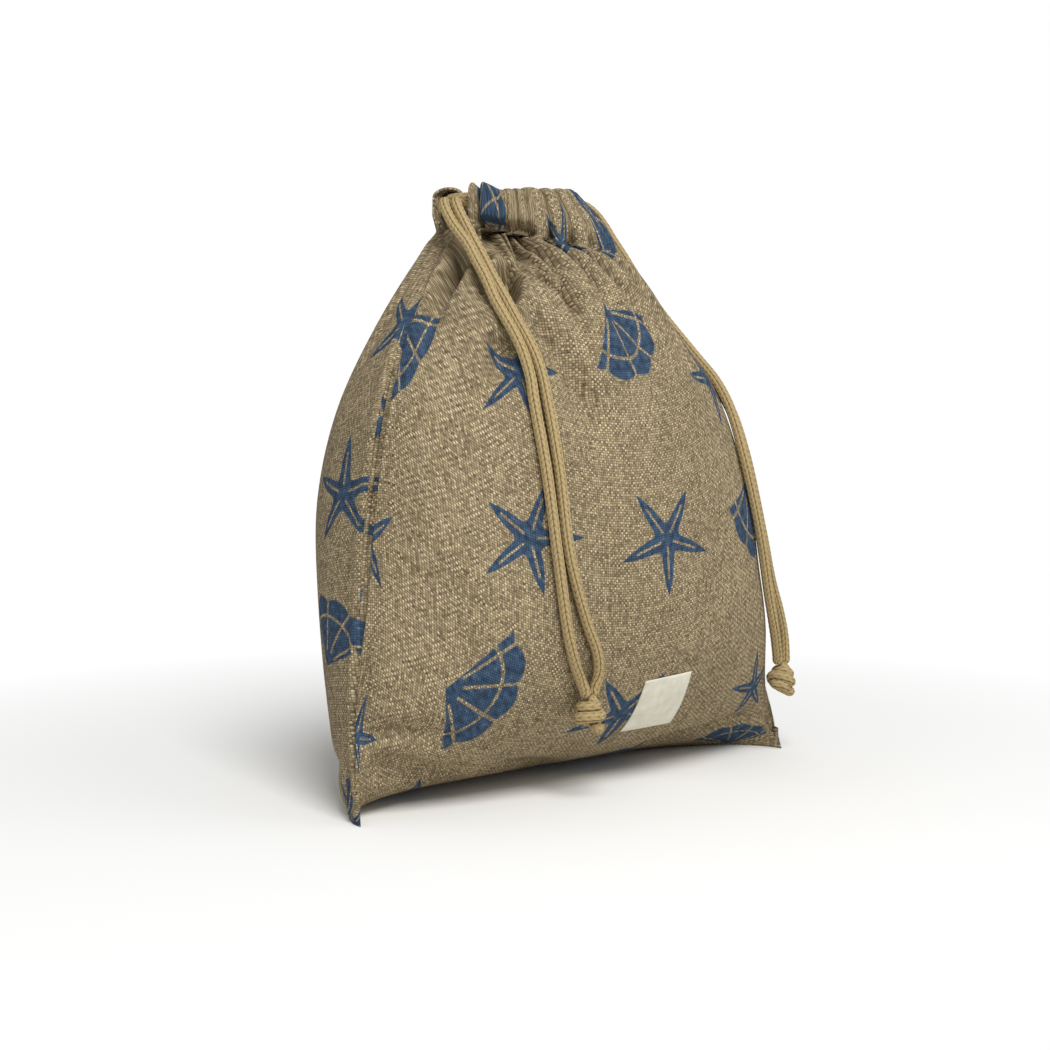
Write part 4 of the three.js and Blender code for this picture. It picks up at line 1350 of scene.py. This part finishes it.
# The front's folds follow the photograph, and the back's are guessed.
FRONT_FOLDS = (
    Fold(((-0.72, 0.985), (-0.765, 0.93), (-0.81, 0.875), (-0.86, 0.823), (-0.86, 0.74)),
         -22, 5.5, 6.5, 2.4, 0.1, 0.6),
    Fold(((-0.44, 1.0), (-0.47, 0.975), (-0.505, 0.945), (-0.56, 0.905)), -18, 4.5, 4.5, 2.4, 0.0),
    Fold(((-0.665, 0.988), (-0.59, 0.978), (-0.52, 0.98)), -13, 4, 4, 2.2, 0.15, 0.15),
    Fold(((-0.405, 0.935), (-0.43, 0.88), (-0.445, 0.82)), -24, 5.5, 5.5, 3.0),
    Fold(((-0.2, 1.0), (-0.245, 0.96), (-0.28, 0.925), (-0.245, 0.895), (-0.155, 0.863), (-0.125, 0.82),
          (-0.12, 0.75)), -11, 3.8, 3.2, 1.8, 0.0),
    Fold(((-0.1, 1.0), (-0.12, 0.975), (-0.095, 0.95), (-0.065, 0.92), (-0.04, 0.87)),
         -10, 3.4, 3.4, 1.8, 0.0),
    Fold(((-0.395, 0.84), (-0.295, 0.78), (-0.205, 0.723), (-0.145, 0.665), (-0.13, 0.6)),
         -10, 13, 8, 1.9),
    Fold(((-0.46, 0.775), (-0.475, 0.73), (-0.445, 0.68)), -9, 9, 8, 2.0),
    Fold(((-0.6, 0.86), (-0.56, 0.76), (-0.5, 0.66)), 3.5, 11, 12, 2.0),
    Fold(((-0.95, 0.91), (-0.94, 0.82), (-0.92, 0.72)), 3, 8, 7, 2.0),
    Fold(((-0.96, 0.215), (-0.87, 0.226), (-0.795, 0.236), (-0.70, 0.241), (-0.57, 0.229),
          (-0.412, 0.208)), -7, 6, 6, 1.7),
    Fold(((-0.9, 0.184), (-0.623, 0.161), (-0.43, 0.133), (-0.315, 0.149)), -8, 12, 8, 2.0),
    Fold(((-0.3, 0.111), (-0.228, 0.13), (0.022, 0.083)), -5, 9, 7, 2.0),
    Fold(((0.2, 0.125), (0.3, 0.125), (0.425, 0.128), (0.575, 0.14), (0.825, 0.15)), -8, 14, 6, 1.8),
    Fold(((0.42, 0.97), (0.43, 0.87), (0.46, 0.76), (0.47, 0.62)), -4, 8, 9, 1.8),
    Fold(((0.63, 0.95), (0.66, 0.84), (0.66, 0.7)), -4, 7, 8, 1.8),
    Fold(((0.12, 0.95), (0.13, 0.82), (0.16, 0.68)), -3.5, 8, 9, 1.8),
)
BACK_FOLDS = (
    Fold(((-0.6, 0.97), (-0.62, 0.86), (-0.63, 0.74), (-0.6, 0.6)), -5, 7, 8, 1.8),
    Fold(((-0.2, 0.97), (-0.21, 0.85), (-0.18, 0.7)), -4, 7, 8, 1.8),
    Fold(((0.1, 0.97), (0.12, 0.84), (0.17, 0.68), (0.2, 0.55)), -5, 8, 8, 1.8),
    Fold(((0.48, 0.97), (0.5, 0.85), (0.54, 0.72)), -5, 7, 7, 1.8),
    Fold(((-0.9, 0.2), (-0.6, 0.17), (-0.3, 0.2)), -3, 7, 8, 2.0),
    Fold(((0.3, 0.15), (0.6, 0.19), (0.92, 0.17)), -3.5, 7, 7, 2.0),
    Fold(((-0.4, 0.75), (-0.35, 0.6), (-0.38, 0.45)), 3, 16, 16, 2.0),
)
# How much higher the top fold stands, in millimetres, at shares u.
FRONT_CROWN = (
    (-1, -2), (-0.7, -0.5), (-0.59, -3), (-0.5, -0.3), (-0.36, -3.2), (-0.2, -2.5), (0, -2), (0.3, -2.5),
    (1, -2),
)
BACK_CROWN = ((-1, -2), (-0.5, -1), (-0.2, -2.5), (0.1, -1), (0.5, -2), (1, -2))

# The strands' lines in millimetres, as in the CAD part, from the slit to the knot.
LEFT_FRONT = (
    (-56.16, 3.84, 338.25), (-58.46, 1.54, 338.25), (-61.1, -1.3, 337.8), (-63.3, -4.5, 335.8),
    (-64.4, -8.6, 331.5), (-64.3, -13.5, 324.7), (-63.5, -20, 315.5), (-63, -29, 304), (-65, -40, 293),
    (-65, -50.5, 281), (-64, -58, 270.5), (-62.5, -65, 260.5), (-61, -71.5, 249.5), (-60, -76.5, 237),
    (-60.5, -81, 224.5), (-59.5, -89.5, 188), (-56.5, -95.5, 139), (-46, -96.5, 105), (-36, -95, 84.5),
    (-33, -92, 72.5), (-34.1, -90, 64.05), (-34.1, -90, 60.8),
)
LEFT_REAR = (
    (-60.97, 8.64, 338.25), (-63.26, 6.35, 338.25), (-65.8, 3.6, 337.6), (-68.2, 0.2, 335.3),
    (-69.9, -4.3, 331.2), (-70.5, -10, 325), (-70.5, -17, 318.5), (-70.3, -24, 312), (-70.5, -31, 303.5),
    (-72, -41.5, 293), (-72, -50, 280.5), (-71, -57.5, 270.5), (-69.5, -64.5, 260.5), (-68, -70, 249.5),
    (-67.5, -75, 237), (-68.5, -79, 224.5), (-67.5, -88, 188), (-64.5, -94.5, 139), (-58, -95.5, 98),
    (-51, -93, 81), (-44, -90, 70.5), (-40.9, -90, 64.05), (-40.9, -90, 60.8),
)
RIGHT_FRONT = (
    (42.02, 11.6, 343.58), (45.27, 11.6, 343.58), (50.5, 11.4, 342.4), (56.5, 10.3, 338.5), (61.5, 8, 332),
    (65, 4, 323.5), (68.5, -1.5, 313.8), (73.4, -5.7, 303.4), (78.6, -7.8, 295.7), (84.3, -10.9, 286.6),
    (90.9, -14.8, 276.4), (97.8, -21.2, 264.8), (105, -30, 251.2), (109, -43.5, 236), (108.6, -56.5, 218.8),
    (109.6, -66.5, 192.4), (119.6, -72, 142.8), (129.5, -70.5, 105), (136, -68.5, 87), (143, -64.8, 72),
    (147.6, -62, 61.05), (147.6, -62, 57.8),
)
RIGHT_REAR = (
    (42.02, 18.4, 343.58), (45.27, 18.4, 343.58), (50.5, 18.4, 342.4), (56.5, 18.2, 338.5), (62, 17.2, 332),
    (66, 14.2, 323.5), (70.5, 8.5, 313.6), (75, 3, 303.7), (79.6, 0.6, 296), (85.3, -3, 286.8),
    (91.9, -7.2, 276.5), (99.3, -13.2, 265), (107.6, -21.8, 251.3), (114, -35.3, 236.2),
    (114.6, -50.6, 218.8), (116.6, -61.2, 192.4), (127, -66.5, 142.8), (139.5, -63, 112), (147.5, -63, 91),
    (153, -62.2, 74), (154.4, -62, 61.05), (154.4, -62, 57.8),
)


def visual_box(objects: list[Object]) -> list[list[float]]:
    """The box round the finished pieces' vertices."""
    low, high = [], []
    for made in objects:
        places = np.zeros(len(made.data.vertices) * 3, np.float32)
        made.data.vertices.foreach_get("co", places)
        low.append(places.reshape(-1, 3).min(axis=0))
        high.append(places.reshape(-1, 3).max(axis=0))
    return [np.min(low, axis=0).astype(float).tolist(), np.max(high, axis=0).astype(float).tolist()]


def main() -> None:
    """Loads the frame and builds the studio, the cords, the panels, the label and the seam allowances."""
    logging.basicConfig(level=logging.INFO, format="%(message)s")
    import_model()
    cad = [[float(x) for x in corner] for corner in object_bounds()]
    Studio().build()
    form, braid = BagForm(), Braid()
    cotton = BraidedCotton().material()
    linen = PrintedLinen().material()
    made = []
    left = Drawcord(
        Hand.LEFT, below=0.0068, exit=(-5.4, -3.6), way=(-math.sqrt(0.5), -math.sqrt(0.5)),
        run_front=((1.9, -6.8), (0.5, -6.1)), run_rear=((-3.6, 3.1), (-5.3, 1.3)), leaves=(0.66, 0.73),
        front=LEFT_FRONT, rear=LEFT_REAR, knot=(-37.5, -90, 51), wraps=2.1, tip=8.0,
        free_end=(6.0, -4.0, -9.0), form=form, braid=braid,
    )
    right = Drawcord(
        Hand.RIGHT, below=0.0, exit=(7, 0), way=(1.0, 0.0),
        run_front=((1, -4.4), (3.4, -3.4)), run_rear=((1, 4.4), (3.4, 3.4)), leaves=(0.73, 0.73),
        front=RIGHT_FRONT, rear=RIGHT_REAR, knot=(151, -62, 48), wraps=2.4, tip=38.0,
        free_end=(7.0, -4.0, -9.0), form=form, braid=braid,
    )
    for cord in (left, right):
        made += cord.build(cotton)
    front = ClothPanel(Side.FRONT, form, FRONT_RIDGES, FRONT_FOLDS, FRONT_CROWN, lip=0.0010)
    back = ClothPanel(Side.BACK, form, BACK_RIDGES, BACK_FOLDS, BACK_CROWN, lip=0.0018)
    made += [front.build(linen), back.build(linen)]
    made.append(SewnLabel(front).build(LabelTape().material()))
    made += [SeamAllowance(name, form).build(linen) for name in ("left", "right", "bottom")]
    {"cad": cad, "visual": visual_box(made)}


if __name__ == "__main__":
    main()
